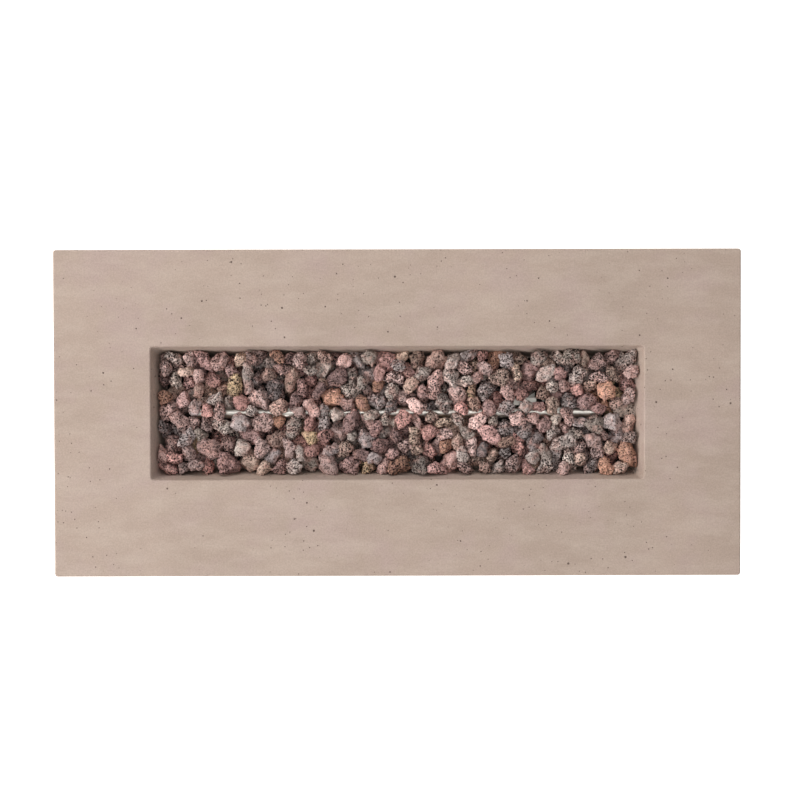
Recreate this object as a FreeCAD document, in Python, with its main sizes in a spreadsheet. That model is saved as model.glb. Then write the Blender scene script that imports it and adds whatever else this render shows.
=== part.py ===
import FreeCAD, Part
import Sketcher
import math
import operator
import os
import random

# Fire pit table with a one-piece concrete shell, a linear gas burner under lava rock,
# and its gas line, controls and service door inside the outline.
# X runs along the length, Y to the back and Z up. The origin is on the ground, at the middle.

V = FreeCAD.Vector
DOC = FreeCAD.newDocument("FirePitTable")
SHEET = DOC.addObject("Spreadsheet::Sheet", "Sizes")
OPERATIONS = {"+": operator.add, "-": operator.sub, "*": operator.mul, "/": operator.truediv}
SIDES = (-1, 1)
CORNERS = [(side, end) for side in SIDES for end in SIDES]
PARTS = []


class Size:
    """A size that keeps its number together with the sheet expression it comes from."""

    def __init__(self, text, value):
        self.text = text
        self.value = value

    def combine(self, sign, other, swapped=False):
        left, right = self, as_size(other)
        if swapped:
            left, right = right, left
        value = OPERATIONS[sign](left.value, right.value)
        return Size(f"({left.text} {sign} {right.text})", value)

    def __add__(self, other):
        return self.combine("+", other)

    def __radd__(self, other):
        return self.combine("+", other, True)

    def __sub__(self, other):
        return self.combine("-", other)

    def __rsub__(self, other):
        return self.combine("-", other, True)

    def __mul__(self, other):
        return self.combine("*", other)

    def __rmul__(self, other):
        return self.combine("*", other, True)

    def __truediv__(self, other):
        return self.combine("/", other)

    def __neg__(self):
        return self * -1


def as_size(value):
    return value if isinstance(value, Size) else Size(f"({value})", value)


def number(value):
    return as_size(value).value


def size(name, value):
    """Write a driving size into the sheet, under a name of its own."""
    row = len(SIZE_NAMES) + 1
    SIZE_NAMES.append(name)
    SHEET.set(f"A{row}", name)
    SHEET.set(f"B{row}", str(value))
    SHEET.setAlias(f"B{row}", name)
    return Size(f"Sizes.{name}", float(value))


def bind(thing, prop, value):
    """Bind a property to the sheet, unless its value is a plain number."""
    if isinstance(value, Size):
        thing.setExpression(prop, value.text)


SIZE_NAMES = []

# Table
TABLE_LENGTH = size("table_length", 1420)
TABLE_DEPTH = size("table_depth", 676)
TABLE_HEIGHT = size("table_height", 410)
WALL = size("concrete_wall", 20)
TOP_SLAB = size("top_slab", 26)
EDGE_ROUND = size("edge_round", 3.5)
CORNER_ROUND = size("corner_round", 6)
RIB_SPACING = size("rib_spacing", 600)
RIB_DROP = size("rib_drop", 54)

# Fire well, measured at the top of the table and down to the ledge for the pan
WELL_LENGTH = size("well_length", 1020)
WELL_WIDTH = size("well_width", 276)
WELL_DROP = size("well_drop", 84)
WELL_INSET = size("well_inset", 20)
WELL_ROUND = size("well_corner_round", 7)
LEDGE = size("ledge_width", 18)
LEDGE_THICK = size("ledge_thickness", 20)
SKIRT = size("well_skirt", 20)

# Play between pieces that move, and between pieces that are only put together
TURNING_PLAY = size("turning_play", 0.05)
FREE_GAP = size("free_gap", 0.5)
FIT_GAP = size("fit_gap", 0.3)

# Levelling feet
FOOT_INSET = size("foot_inset", 70)
CORNER_BLOCK = size("corner_block", 80)
BLOCK_HEIGHT = size("block_height", 60)
PAD_RADIUS = size("pad_radius", 24)
PAD_THICK = size("pad_thickness", 10)
STUD_RADIUS = size("stud_radius", 5)
STUD_FOOT_RADIUS = size("stud_foot_radius", 7)
STUD_FOOT_THICK = size("stud_foot_thickness", 3)
COLLAR_HEIGHT = size("collar_height", 5.5)
COLLAR_FLATS = size("collar_flats", 14)
LOCK_NUT_HEIGHT = size("lock_nut_height", 6)
LOCK_NUT_FLATS = size("lock_nut_flats", 17)
INSERT_RADIUS = size("insert_radius", 8)
INSERT_LENGTH = size("insert_length", 30)

# Burner pan on its gasket
GASKET_THICK = size("gasket_thickness", 3)
PAN_SHEET = size("pan_sheet", 2)
PAN_LIP = size("pan_lip_height", 12)
PAN_MARGIN = size("pan_margin", 4)
SCREW_RADIUS = size("screw_radius", 2)
SCREW_LENGTH = size("screw_length", 12)
SCREW_HEAD_RADIUS = size("screw_head_radius", 4)
SCREW_HEAD = size("screw_head_height", 2.5)
WEEP_RADIUS = size("weep_hole_radius", 3)

# Burner
TUBE_RADIUS = size("burner_tube_radius", 13.35)
TUBE_WALL = size("burner_tube_wall", 1.5)
TUBE_LENGTH = size("burner_tube_length", 856)
TUBE_LIFT = size("burner_tube_lift", 8)
PORT_RADIUS = size("port_radius", 1.6)
PORT_PITCH = size("port_pitch", 52)
PORT_COUNT = 16
CRADLE_SPACING = size("cradle_spacing", 620)
CRADLE_LENGTH = size("cradle_length", 20)
CRADLE_REACH = size("cradle_reach", 30)
CRADLE_FOOT = size("cradle_foot", 3)
STUB_RADIUS = size("stub_radius", 10.65)
STUB_BORE = size("stub_bore", 8)
STUB_DROP = size("stub_drop", 40)
STUB_NUT_FLATS = size("stub_nut_flats", 32)
STUB_NUT_HEIGHT = size("stub_nut_height", 6)

# Flame sensor, spark electrode and their hood, beside the tube
SENSOR_X = size("sensor_place", 262)
HOOD_LENGTH = size("hood_length", 58)
HOOD_DEPTH = size("hood_depth", 14)
HOOD_GAP = size("hood_gap", 1.2)
HOOD_RISE = size("hood_rise", 35)
HOOD_SHEET = size("hood_sheet", 1.2)
SHELF_RISE = size("shelf_rise", 12)
BRACKET_SHEET = size("bracket_sheet", 1.5)
BRACKET_FOOT = size("bracket_foot", 22)
PROBE_SPREAD = size("probe_spread", 14)
PROBE_RADIUS = size("probe_radius", 2.4)
PROBE_RISE = size("probe_rise", 29)
PROBE_DROP = size("probe_drop", 12)
INSULATOR_RADIUS = size("insulator_radius", 3.4)
ELECTRODE_RADIUS = size("electrode_radius", 1.2)

# Heat shield under the pan
SHIELD_DROP = size("shield_drop", 27)
SHIELD_SHEET = size("shield_sheet", 1.2)
SHIELD_LENGTH = size("shield_length", 880)
SHIELD_WIDTH = size("shield_width", 176)
STANDOFF_RADIUS = size("standoff_radius", 5)
STANDOFF_SPREAD = size("standoff_spread", 800)
STANDOFF_WIDTH = size("standoff_width", 140)

# Air mixer under the burner stub
MIXER_RADIUS = size("mixer_radius", 12.5)
MIXER_SOCKET_RADIUS = size("mixer_socket_radius", 15)
MIXER_SOCKET = size("mixer_socket_height", 22)
MIXER_LENGTH = size("mixer_length", 61)
WINDOW_WIDTH = size("window_width", 9)
WINDOW_HEIGHT = size("window_height", 18)
SHUTTER_WALL = size("shutter_wall", 1.5)
JET_BLOCK = size("jet_block", 24)
JET_FLANGE = size("jet_flange", 6)
JET_SPIGOT = size("jet_spigot", 12)

# Gas tubes and their nuts
GAS_TUBE_RADIUS = size("gas_tube_radius", 5)
GAS_TUBE_BORE = size("gas_tube_bore", 4)
GAS_TUBE_BEND = size("gas_tube_bend", 60)
NECK_RADIUS = size("neck_radius", 7)
NECK_LENGTH = size("neck_length", 10)
TUBE_NUT_FLATS = size("tube_nut_flats", 17)
TUBE_NUT_LENGTH = size("tube_nut_length", 16)

# Control tray in its niche
TRAY_INSET = size("control_tray_inset", 160)
TRAY_LENGTH = size("control_tray_length", 178)
TRAY_WIDTH = size("control_tray_width", 98)
TRAY_SHEET = size("tray_sheet", 1.5)
TRAY_SETBACK = size("tray_setback", 1)
TRAY_DEPTH = size("tray_depth", 45)
TRAY_FLANGE = size("tray_flange", 18)
PANEL_NECK_RADIUS = size("panel_neck_radius", 8)
PANEL_NUT_FLATS = size("panel_nut_flats", 22)
PANEL_NUT_HEIGHT = size("panel_nut_height", 6)

# Gas valve and its knob
VALVE_INSET = size("valve_inset", 190)
VALVE_WIDTH = size("valve_width", 44)
VALVE_DEPTH = size("valve_depth", 50)
VALVE_NECK = size("valve_neck", 8)
VALVE_CAVITY_RADIUS = size("valve_cavity_radius", 10)
VALVE_CAVITY_DEPTH = size("valve_cavity_depth", 42)
VALVE_INLET_DEPTH = size("valve_inlet_depth", 25)
SPINDLE_RADIUS = size("spindle_radius", 4)
SPINDLE_FLANGE_RADIUS = size("spindle_flange_radius", 7)
SPINDLE_FLANGE = size("spindle_flange", 3)
PLUNGER_RADIUS = size("plunger_radius", 9.5)
PLUNGER_THICK = size("plunger_thickness", 3.5)
KNOB_TRAVEL = size("knob_travel", 5)
KNOB_RADIUS = size("knob_radius", 21)
KNOB_HEIGHT = size("knob_height", 18)
KNOB_GRIP = size("knob_grip_width", 9)
MAGNET_RADIUS = size("magnet_radius", 4.5)
MAGNET_LENGTH = size("magnet_length", 18)

# Push-button igniter
IGNITER_INSET = size("igniter_inset", 118)
IGNITER_RADIUS = size("igniter_radius", 10)
IGNITER_DEPTH = size("igniter_depth", 45)
IGNITER_TERMINAL = size("igniter_terminal", 7)
BUTTON_RADIUS = size("button_radius", 5)
BUTTON_TRAVEL = size("button_travel", 4)
BUTTON_FLANGE_RADIUS = size("button_flange_radius", 7.4)

# Shut-off valve and inlet
LINE_Z = size("gas_line_height", 110)
SHUTOFF_Y = size("shutoff_place", 60)
SHUTOFF_LENGTH = size("shutoff_length", 48)
SHUTOFF_RADIUS = size("shutoff_radius", 13)
BALL_RADIUS = size("ball_radius", 9.5)
STEM_RADIUS = size("stem_radius", 4)
STEM_RISE = size("stem_rise", 30)
LEVER_LENGTH = size("lever_length", 70)
INLET_TRAY_WIDTH = size("inlet_tray_width", 90)
FITTING_FLANGE = size("fitting_flange", 6)
FITTING_FLATS = size("fitting_flats", 24)
FLARE_RADIUS = size("flare_radius", 7.94)
FLARE_LENGTH = size("flare_length", 20)
FITTING_INNER = size("fitting_inner_length", 23)

# Service door in the right end
DOOR_Z = size("door_height_middle", 180)
DOOR_OPENING = size("door_opening_width", 300)
DOOR_OPENING_HEIGHT = size("door_opening_height", 240)
FRAME_SHEET = size("frame_sheet", 2)
FRAME_FLANGE = size("frame_flange", 15)
FRAME_LIP = size("frame_lip", 12)
DOOR_GAP = size("door_gap", 2)
DOOR_SHEET = size("door_sheet", 2)
KNUCKLE_RADIUS = size("knuckle_radius", 3.2)
PIN_RADIUS = size("pin_radius", 2)
KNUCKLE_LENGTH = size("knuckle_length", 14)
HINGE_SPACING = size("hinge_spacing", 150)
LOUVRE_LENGTH = size("louvre_length", 170)
LOUVRE_PITCH = size("louvre_pitch", 20)
LOUVRE_HEIGHT = size("louvre_height", 10)
LOUVRE_REACH = size("louvre_reach", 6)
LOUVRE_COUNT = 7
CATCH_WIDTH = size("catch_width", 30)

# Vent grille in the left end
VENT_LENGTH = size("vent_length", 220)
VENT_HEIGHT = size("vent_opening_height", 90)
VENT_SLOT = size("vent_slot", 8)
VENT_PITCH = size("vent_pitch", 16)
VENT_SLOTS = 5

# Leads of the flame sensor and the igniter
SENSOR_LEAD_RADIUS = size("sensor_lead_radius", 1.5)
SPARK_LEAD_RADIUS = size("spark_lead_radius", 2.2)
LEAD_BEND = size("lead_bend_radius", 16)
LEAD_DROP = size("lead_drop_below_shield", 20)
LEAD_STEP = size("spark_lead_step", 10)
LEAD_AWAY = size("lead_way_behind_panel", 110)
LEAD_CROSSING = size("lead_crossing_behind_panel", 160)
LEAD_ASIDE = size("sensor_lead_aside", 50)

# Lava rock
ROCK_SMALL = size("rock_small_radius", 11.5)
ROCK_TYPICAL = size("rock_typical_radius", 16.5)
ROCK_LARGE = size("rock_large_radius", 25)
ROCK_FILL = size("rock_fill_height", 64)
ROCK_GAP = size("rock_gap", 0.3)
ROCK_SEED = 11
ROCK_COLOURS = (("lava_rocks_pink", 0.44), ("lava_rocks_grey", 0.34), ("lava_rocks_ochre", 0.22))

# Levels and half sizes that follow from them
GROUND_GAP = PAD_THICK + FREE_GAP + COLLAR_HEIGHT + FREE_GAP + LOCK_NUT_HEIGHT
HALF_LENGTH = TABLE_LENGTH / 2
HALF_DEPTH = TABLE_DEPTH / 2
INNER_X = HALF_LENGTH - WALL
INNER_Y = HALF_DEPTH - WALL
UNDER_TOP = TABLE_HEIGHT - TOP_SLAB
TRAY_X = HALF_LENGTH - TRAY_INSET
VALVE_X = HALF_LENGTH - VALVE_INSET
IGNITER_X = HALF_LENGTH - IGNITER_INSET
WELL_X = WELL_LENGTH / 2
WELL_Y = WELL_WIDTH / 2
LEDGE_Z = TABLE_HEIGHT - WELL_DROP
LEDGE_X = WELL_X - WELL_INSET
LEDGE_Y = WELL_Y - WELL_INSET
HOLE_X = LEDGE_X - LEDGE
HOLE_Y = LEDGE_Y - LEDGE
PAN_X = LEDGE_X - PAN_MARGIN
PAN_Y = LEDGE_Y - PAN_MARGIN
PAN_BOTTOM = LEDGE_Z + GASKET_THICK
PAN_TOP = PAN_BOTTOM + PAN_SHEET
TUBE_Z = PAN_TOP + TUBE_LIFT + TUBE_RADIUS
FOOT_X = HALF_LENGTH - FOOT_INSET
FOOT_Y = HALF_DEPTH - FOOT_INSET
SCREW_HOLE = SCREW_RADIUS + TURNING_PLAY
PAN_SCREW_X = HOLE_X + LEDGE / 3
PAN_SCREW_Y = HOLE_Y + LEDGE / 3
CRADLE_SCREW_Y = CRADLE_REACH - SCREW_HEAD_RADIUS - 2
HOOD_Y = TUBE_RADIUS + HOOD_GAP
PROBE_Y = HOOD_Y + HOOD_DEPTH / 2
BRACKET_Y = HOOD_Y + HOOD_DEPTH
BRACKET_SCREW_Y = BRACKET_Y + BRACKET_FOOT / 2
SHIELD_TOP = PAN_BOTTOM - SHIELD_DROP
STUB_BOTTOM = PAN_BOTTOM - STUB_DROP
MIXER_TOP = STUB_BOTTOM + MIXER_SOCKET / 2
MIXER_SHOULDER = MIXER_TOP - MIXER_SOCKET
MIXER_BOTTOM = MIXER_TOP - MIXER_LENGTH
JET_PORT_Z = MIXER_BOTTOM - JET_FLANGE - JET_BLOCK / 2
PANEL_Y = -HALF_DEPTH + TRAY_SETBACK + TRAY_DEPTH
PANEL_FACE_Y = PANEL_Y - FRAME_SHEET
VALVE_BACK_Y = PANEL_Y + VALVE_DEPTH
VALVE_Z = JET_PORT_Z
VALVE_INLET_Y = PANEL_Y + VALVE_INLET_DEPTH
INLET_PANEL_Y = HALF_DEPTH - TRAY_SETBACK - TRAY_DEPTH
TUBE_NUT_NECK = TUBE_NUT_LENGTH / 2
SHUTOFF_END = SHUTOFF_LENGTH / 2 + NECK_LENGTH

TURNS = {
    "up": FreeCAD.Rotation(),
    "down": FreeCAD.Rotation(V(1, 0, 0), 180),
    "front": FreeCAD.Rotation(V(1, 0, 0), 90),
    "back": FreeCAD.Rotation(V(1, 0, 0), -90),
    "right": FreeCAD.Rotation(V(0, 1, 0), 90),
    "left": FreeCAD.Rotation(V(0, 1, 0), -90),
}


def rectangle(left, right, low, high):
    return [(left, low), (right, low), (right, high), (left, high)]


def centred(half_wide, half_tall, x=0, y=0):
    """A rectangle about a middle point."""
    return rectangle(x - half_wide, x + half_wide, y - half_tall, y + half_tall)


def circle(x, y, radius):
    return {"x": x, "y": y, "radius": radius}


def hexagon(flats):
    """A hexagon of the given width across its flats."""
    reach = flats / math.sqrt(3)
    half = flats / 2
    return [(reach, 0), (reach / 2, half), (-reach / 2, half),
            (-reach, 0), (-reach / 2, -half), (reach / 2, -half)]


def is_zero(value):
    return not isinstance(value, Size) and value == 0


def fix_point(sketch, item, corner, x, y):
    """Hold a point of a sketch at x and y from the sketch's own origin."""
    for kind, value, axis in (("DistanceX", x, -2), ("DistanceY", y, -1)):
        if is_zero(value):
            sketch.addConstraint(Sketcher.Constraint("PointOnObject", item, corner, axis))
            continue
        rule = Sketcher.Constraint(kind, -1, 1, item, corner, number(value))
        bind(sketch, f"Constraints[{sketch.addConstraint(rule)}]", value)


def draw_circle(sketch, ring):
    middle = V(number(ring["x"]), number(ring["y"]), 0)
    item = sketch.addGeometry(Part.Circle(middle, V(0, 0, 1), number(ring["radius"])), False)
    fix_point(sketch, item, 3, ring["x"], ring["y"])
    rule = Sketcher.Constraint("Radius", item, number(ring["radius"]))
    bind(sketch, f"Constraints[{sketch.addConstraint(rule)}]", ring["radius"])


def draw_loop(sketch, points):
    spots = [V(number(x), number(y), 0) for x, y in points]
    count = len(points)
    first = sketch.GeometryCount
    for i in range(count):
        sketch.addGeometry(Part.LineSegment(spots[i], spots[(i + 1) % count]), False)
    for i in range(count):
        here = first + i
        after = first + (i + 1) % count
        sketch.addConstraint(Sketcher.Constraint("Coincident", here, 2, after, 1))
    for i, (x, y) in enumerate(points):
        fix_point(sketch, first + i, 1, x, y)


class Piece:
    """A body built from sketches on its own origin planes."""

    def __init__(self, name, at=(0, 0, 0), facing="up", kept=True):
        self.body = DOC.addObject("PartDesign::Body", name.title().replace("_", ""))
        self.body.Label = name
        self.body.Placement = FreeCAD.Placement(V(*[number(value) for value in at]), TURNS[facing])
        for axis, value in zip("xyz", at):
            bind(self.body, f"Placement.Base.{axis}", value)
        if kept:
            PARTS.append(self.body)

    def sketch(self, plane, loops, offset=0):
        sketch = self.body.newObject("Sketcher::SketchObject", f"{self.body.Name}Sketch")
        role = f"{plane}_Plane"
        base = [item for item in self.body.Origin.OriginFeatures if item.Role == role][0]
        sketch.AttachmentSupport = [(base, "")]
        sketch.MapMode = "FlatFace"
        sketch.AttachmentOffset = FreeCAD.Placement(V(0, 0, number(offset)), FreeCAD.Rotation())
        bind(sketch, "AttachmentOffset.Base.z", offset)
        for loop in loops:
            if isinstance(loop, dict):
                draw_circle(sketch, loop)
            else:
                draw_loop(sketch, loop)
        return sketch

    def prism(self, plane, loops, low, high, cut=False):
        """Fill or cut the loops from low to high along the axis square to their plane."""
        start = -high if plane == "XZ" else low
        if is_zero(high) and plane == "XZ":
            start = 0
        sketch = self.sketch(plane, loops, start)
        kind = "Pocket" if cut else "Pad"
        feature = self.body.newObject(f"PartDesign::{kind}", f"{self.body.Name}{kind}")
        feature.Profile = sketch
        feature.Length = number(high - low)
        bind(feature, "Length", high - low)
        feature.Reversed = cut
        return feature

    def block(self, x, y, z, cut=False):
        """A box between the two ends given for each axis."""
        return self.prism("XY", [rectangle(x[0], x[1], y[0], y[1])], z[0], z[1], cut)

    def turned(self, profile, cut=False):
        """Turn a profile of radius and height pairs about the vertical axis."""
        sketch = self.sketch("XZ", [profile])
        kind = "Groove" if cut else "Revolution"
        feature = self.body.newObject(f"PartDesign::{kind}", f"{self.body.Name}{kind}")
        feature.Profile = sketch
        feature.ReferenceAxis = (sketch, ["V_Axis"])
        feature.Angle = 360
        return feature

    def loft(self, lower, low, upper, high, cut=False):
        """Join two loops at two heights with straight sides."""
        kind = "SubtractiveLoft" if cut else "AdditiveLoft"
        first = self.sketch("XY", [lower], low)
        second = self.sketch("XY", [upper], high)
        feature = self.body.newObject(f"PartDesign::{kind}", f"{self.body.Name}{kind}")
        feature.Profile = first
        feature.Sections = [second]
        feature.Ruled = True
        return feature

    def repeat(self, feature, axis, length, count):
        """Repeat a step in a row along an axis of its own sketch."""
        pattern = self.body.newObject("PartDesign::LinearPattern", f"{self.body.Name}Row")
        pattern.Originals = [feature]
        pattern.Direction = (feature.Profile[0], [axis])
        self.body.Tip = pattern
        pattern.Length = number(length)
        bind(pattern, "Length", length)
        pattern.Occurrences = count
        return pattern

    def round_edges(self, radius, chosen):
        """Round the edges that the test picks out."""
        DOC.recompute()
        last = self.body.Tip
        names = [f"Edge{i + 1}" for i, edge in enumerate(last.Shape.Edges) if chosen(edge)]
        feature = self.body.newObject("PartDesign::Fillet", f"{self.body.Name}Fillet")
        feature.Base = (last, names)
        feature.Radius = number(radius)
        bind(feature, "Radius", radius)
        return feature


def group(name, template, places):
    """Separate equal pieces, each a link to one body, kept together under one name."""
    links = []
    for at, facing in places:
        link = DOC.addObject("App::Link", f"{template.body.Name}Copy")
        link.LinkedObject = template.body
        link.Placement = FreeCAD.Placement(V(*[number(value) for value in at]), TURNS[facing])
        for axis, value in zip("xyz", at):
            bind(link, f"Placement.Base.{axis}", value)
        links.append(link)
    compound = DOC.addObject("Part::Compound", name.title().replace("_", ""))
    compound.Label = name
    compound.Links = links
    PARTS.append(compound)
    return compound


# Concrete shell


def niche(shell, x, y, z):
    """An opening through a wall, with a little room round what goes in."""
    shell.block(x, y, z, cut=True)


def wall_screw_places():
    """Where the wall screws go: the middle of each flange, with the way the screw points."""
    places = []
    inner_front = -INNER_Y + TRAY_SHEET
    inner_back = INNER_Y - TRAY_SHEET
    reach = TRAY_LENGTH / 2 + TRAY_FLANGE / 2
    rise = TRAY_WIDTH / 2 - 10
    for side, end in CORNERS:
        places.append(((TRAY_X + reach * side, inner_front, VALVE_Z + rise * end), "back"))
    for side in SIDES:
        place = VALVE_X + (INLET_TRAY_WIDTH / 2 + TRAY_FLANGE / 2) * side
        places.append(((place, inner_back, LINE_Z), "front"))
    for side, end in CORNERS:
        y = (DOOR_OPENING / 2 + FRAME_FLANGE / 2) * side
        z = DOOR_Z + (DOOR_OPENING_HEIGHT / 2 - 20) * end
        places.append(((INNER_X - FRAME_SHEET, y, z), "left"))
    for side in SIDES:
        y = (VENT_LENGTH / 2 + FRAME_FLANGE / 2) * side
        places.append(((-INNER_X + FRAME_SHEET, y, DOOR_Z), "right"))
    return places


def concrete_shell():
    """The cast shell: a box open below, with the sloping fire well let into its top."""
    shell = Piece("concrete_shell")
    shell.block((-HALF_LENGTH, HALF_LENGTH), (-HALF_DEPTH, HALF_DEPTH), (GROUND_GAP, TABLE_HEIGHT))
    shell.block((-INNER_X, INNER_X), (-INNER_Y, INNER_Y), (GROUND_GAP, UNDER_TOP), cut=True)
    shell.loft(centred(LEDGE_X + SKIRT, LEDGE_Y + SKIRT), LEDGE_Z - LEDGE_THICK,
               centred(WELL_X + SKIRT, WELL_Y + SKIRT), TABLE_HEIGHT)
    ribs = []
    blocks = []
    for side, end in CORNERS:
        x = RIB_SPACING / 2 * side
        near, far = LEDGE_Y * end, (HALF_DEPTH - WALL / 2) * end
        low, high = (near, far) if end > 0 else (far, near)
        ribs.append(rectangle(x - WALL / 2, x + WALL / 2, low, high))
        block_x = (HALF_LENGTH - WALL / 2 - CORNER_BLOCK / 2) * side
        block_y = (HALF_DEPTH - WALL / 2 - CORNER_BLOCK / 2) * end
        blocks.append(centred(CORNER_BLOCK / 2, CORNER_BLOCK / 2, block_x, block_y))
    shell.prism("XY", ribs, UNDER_TOP - RIB_DROP, UNDER_TOP)
    shell.prism("XY", blocks, GROUND_GAP, GROUND_GAP + BLOCK_HEIGHT)
    shell.loft(centred(LEDGE_X, LEDGE_Y), LEDGE_Z, centred(WELL_X, WELL_Y), TABLE_HEIGHT, cut=True)
    shell.block((-HOLE_X, HOLE_X), (-HOLE_Y, HOLE_Y), (LEDGE_Z - LEDGE_THICK, LEDGE_Z), cut=True)
    soften_shell(shell)
    open_shell(shell)


def soften_shell(shell):
    """Hand-finished edges: the outer corners, the corners of the well and the top edges."""
    top = TABLE_HEIGHT.value

    def outer_corner(edge):
        middle = edge.CenterOfMass
        return abs(abs(middle.x) - HALF_LENGTH.value) < 0.01 and abs(abs(middle.y) - HALF_DEPTH.value) < 0.01

    def well_corner(edge):
        box = edge.BoundBox
        rises = abs(box.ZMax - top) < 0.01 and abs(box.ZMin - LEDGE_Z.value) < 0.01
        return rises and abs(edge.CenterOfMass.x) < WELL_X.value

    def on_top(edge):
        return edge.BoundBox.ZMin > top - 0.01

    shell.round_edges(CORNER_ROUND, outer_corner)
    shell.round_edges(WELL_ROUND, well_corner)
    shell.round_edges(EDGE_ROUND, on_top)


def open_shell(shell):
    """Openings for the trays, the door and the vent, and holes for inserts and screws."""
    half_length = TRAY_LENGTH / 2 + FIT_GAP
    half_width = TRAY_WIDTH / 2 + FIT_GAP
    half_inlet = INLET_TRAY_WIDTH / 2 + FIT_GAP
    half_door = DOOR_OPENING / 2 + FIT_GAP
    half_rise = DOOR_OPENING_HEIGHT / 2 + FIT_GAP
    niche(shell, (TRAY_X - half_length, TRAY_X + half_length), (-HALF_DEPTH, -INNER_Y),
          (VALVE_Z - half_width, VALVE_Z + half_width))
    niche(shell, (VALVE_X - half_inlet, VALVE_X + half_inlet), (INNER_Y, HALF_DEPTH),
          (LINE_Z - half_inlet, LINE_Z + half_inlet))
    niche(shell, (INNER_X, HALF_LENGTH), (-half_door, half_door), (DOOR_Z - half_rise, DOOR_Z + half_rise))
    niche(shell, (-HALF_LENGTH, -INNER_X), (-VENT_LENGTH / 2, VENT_LENGTH / 2),
          (DOOR_Z - VENT_HEIGHT / 2, DOOR_Z + VENT_HEIGHT / 2))
    inserts = [circle(FOOT_X * side, FOOT_Y * end, INSERT_RADIUS) for side, end in CORNERS]
    shell.prism("XY", inserts, GROUND_GAP, GROUND_GAP + INSERT_LENGTH, cut=True)
    ledge = [circle(PAN_SCREW_X * side, PAN_SCREW_Y * end, SCREW_HOLE) for side, end in CORNERS]
    shell.prism("XY", ledge, LEDGE_Z - SCREW_LENGTH + GASKET_THICK, LEDGE_Z, cut=True)
    depth = SCREW_LENGTH - FRAME_SHEET + 1
    holes = {"front": [], "back": [], "left": [], "right": []}
    for (x, y, z), facing in wall_screw_places():
        flat = (x, z) if facing in ("front", "back") else (y, z)
        holes[facing].append(circle(flat[0], flat[1], SCREW_HOLE))
    shell.prism("XZ", holes["back"], -INNER_Y - depth, -INNER_Y, cut=True)
    shell.prism("XZ", holes["front"], INNER_Y, INNER_Y + depth, cut=True)
    shell.prism("YZ", holes["left"], INNER_X, INNER_X + depth, cut=True)
    shell.prism("YZ", holes["right"], -INNER_X - depth, -INNER_X, cut=True)


# Levelling feet


def foot_names():
    names = {}
    for side, end in CORNERS:
        depth = "back" if end > 0 else "front"
        width = "right" if side > 0 else "left"
        names[(side, end)] = f"{depth}_{width}"
    return names


def feet():
    """Each foot: a swivelling pad held on the round foot of a threaded stud."""
    socket = STUD_FOOT_RADIUS + FIT_GAP
    floor = PAD_THICK - STUD_FOOT_THICK - FIT_GAP - FIT_GAP - 2
    roof = floor + FIT_GAP + STUD_FOOT_THICK + FIT_GAP
    throat = STUD_RADIUS + TURNING_PLAY
    collar = PAD_THICK + FREE_GAP
    tip = GROUND_GAP + INSERT_LENGTH - FREE_GAP
    for (side, end), name in foot_names().items():
        place = (FOOT_X * side, FOOT_Y * end, 0)
        pad = Piece(f"foot_pad_{name}", place)
        pad.turned([(0, 0), (PAD_RADIUS - 1, 0), (PAD_RADIUS, 1), (PAD_RADIUS, 5), (PAD_RADIUS - 8, PAD_THICK),
                    (throat, PAD_THICK), (throat, roof), (socket, roof), (socket, floor), (0, floor)])
        stud = Piece(f"foot_stud_{name}", place)
        stud.turned([(0, floor + FIT_GAP), (STUD_FOOT_RADIUS, floor + FIT_GAP),
                     (STUD_FOOT_RADIUS, roof - FIT_GAP), (STUD_RADIUS, roof - FIT_GAP),
                     (STUD_RADIUS, tip), (0, tip)])
        stud.prism("XY", [hexagon(COLLAR_FLATS)], collar, collar + COLLAR_HEIGHT)
    insert = Piece("foot_insert_pattern", kept=False)
    insert.prism("XY", [circle(0, 0, INSERT_RADIUS), circle(0, 0, throat)], 0, INSERT_LENGTH)
    nut = Piece("lock_nut_pattern", kept=False)
    nut.prism("XY", [hexagon(LOCK_NUT_FLATS), circle(0, 0, throat)], 0, LOCK_NUT_HEIGHT)
    group("foot_inserts", insert, [((FOOT_X * side, FOOT_Y * end, GROUND_GAP), "up") for side, end in CORNERS])
    group("foot_lock_nuts", nut, [((FOOT_X * side, FOOT_Y * end, GROUND_GAP - LOCK_NUT_HEIGHT), "up")
                                  for side, end in CORNERS])


# Pan and burner


def corner_circles(x, y, radius):
    return [circle(x * side, y * end, radius) for side, end in CORNERS]


def pan_and_gasket():
    gasket = Piece("pan_gasket", (0, 0, LEDGE_Z))
    gasket.prism("XY", [centred(PAN_X, PAN_Y), centred(HOLE_X, HOLE_Y)]
                 + corner_circles(PAN_SCREW_X, PAN_SCREW_Y, SCREW_HOLE), 0, GASKET_THICK)
    pan = Piece("burner_pan", (0, 0, PAN_BOTTOM))
    pan.prism("XY", [centred(PAN_X, PAN_Y)], 0, PAN_LIP)
    pan.prism("XY", [centred(PAN_X - PAN_SHEET, PAN_Y - PAN_SHEET)], PAN_SHEET, PAN_LIP, cut=True)
    holes = corner_circles(PAN_SCREW_X, PAN_SCREW_Y, SCREW_HOLE)
    holes += corner_circles(CRADLE_SPACING / 2, CRADLE_SCREW_Y, SCREW_HOLE)
    holes += corner_circles(STANDOFF_SPREAD / 4, STANDOFF_WIDTH / 2, WEEP_RADIUS)
    holes.append(circle(0, 0, STUB_RADIUS + FIT_GAP))
    holes.append(circle(SENSOR_X - PROBE_SPREAD, PROBE_Y, PROBE_RADIUS + FIT_GAP))
    holes.append(circle(SENSOR_X + PROBE_SPREAD, PROBE_Y, INSULATOR_RADIUS + FIT_GAP))
    for side in SIDES:
        holes.append(circle(SENSOR_X + PROBE_SPREAD * side, BRACKET_SCREW_Y, SCREW_HOLE))
    pan.prism("XY", holes, 0, PAN_SHEET, cut=True)


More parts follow.
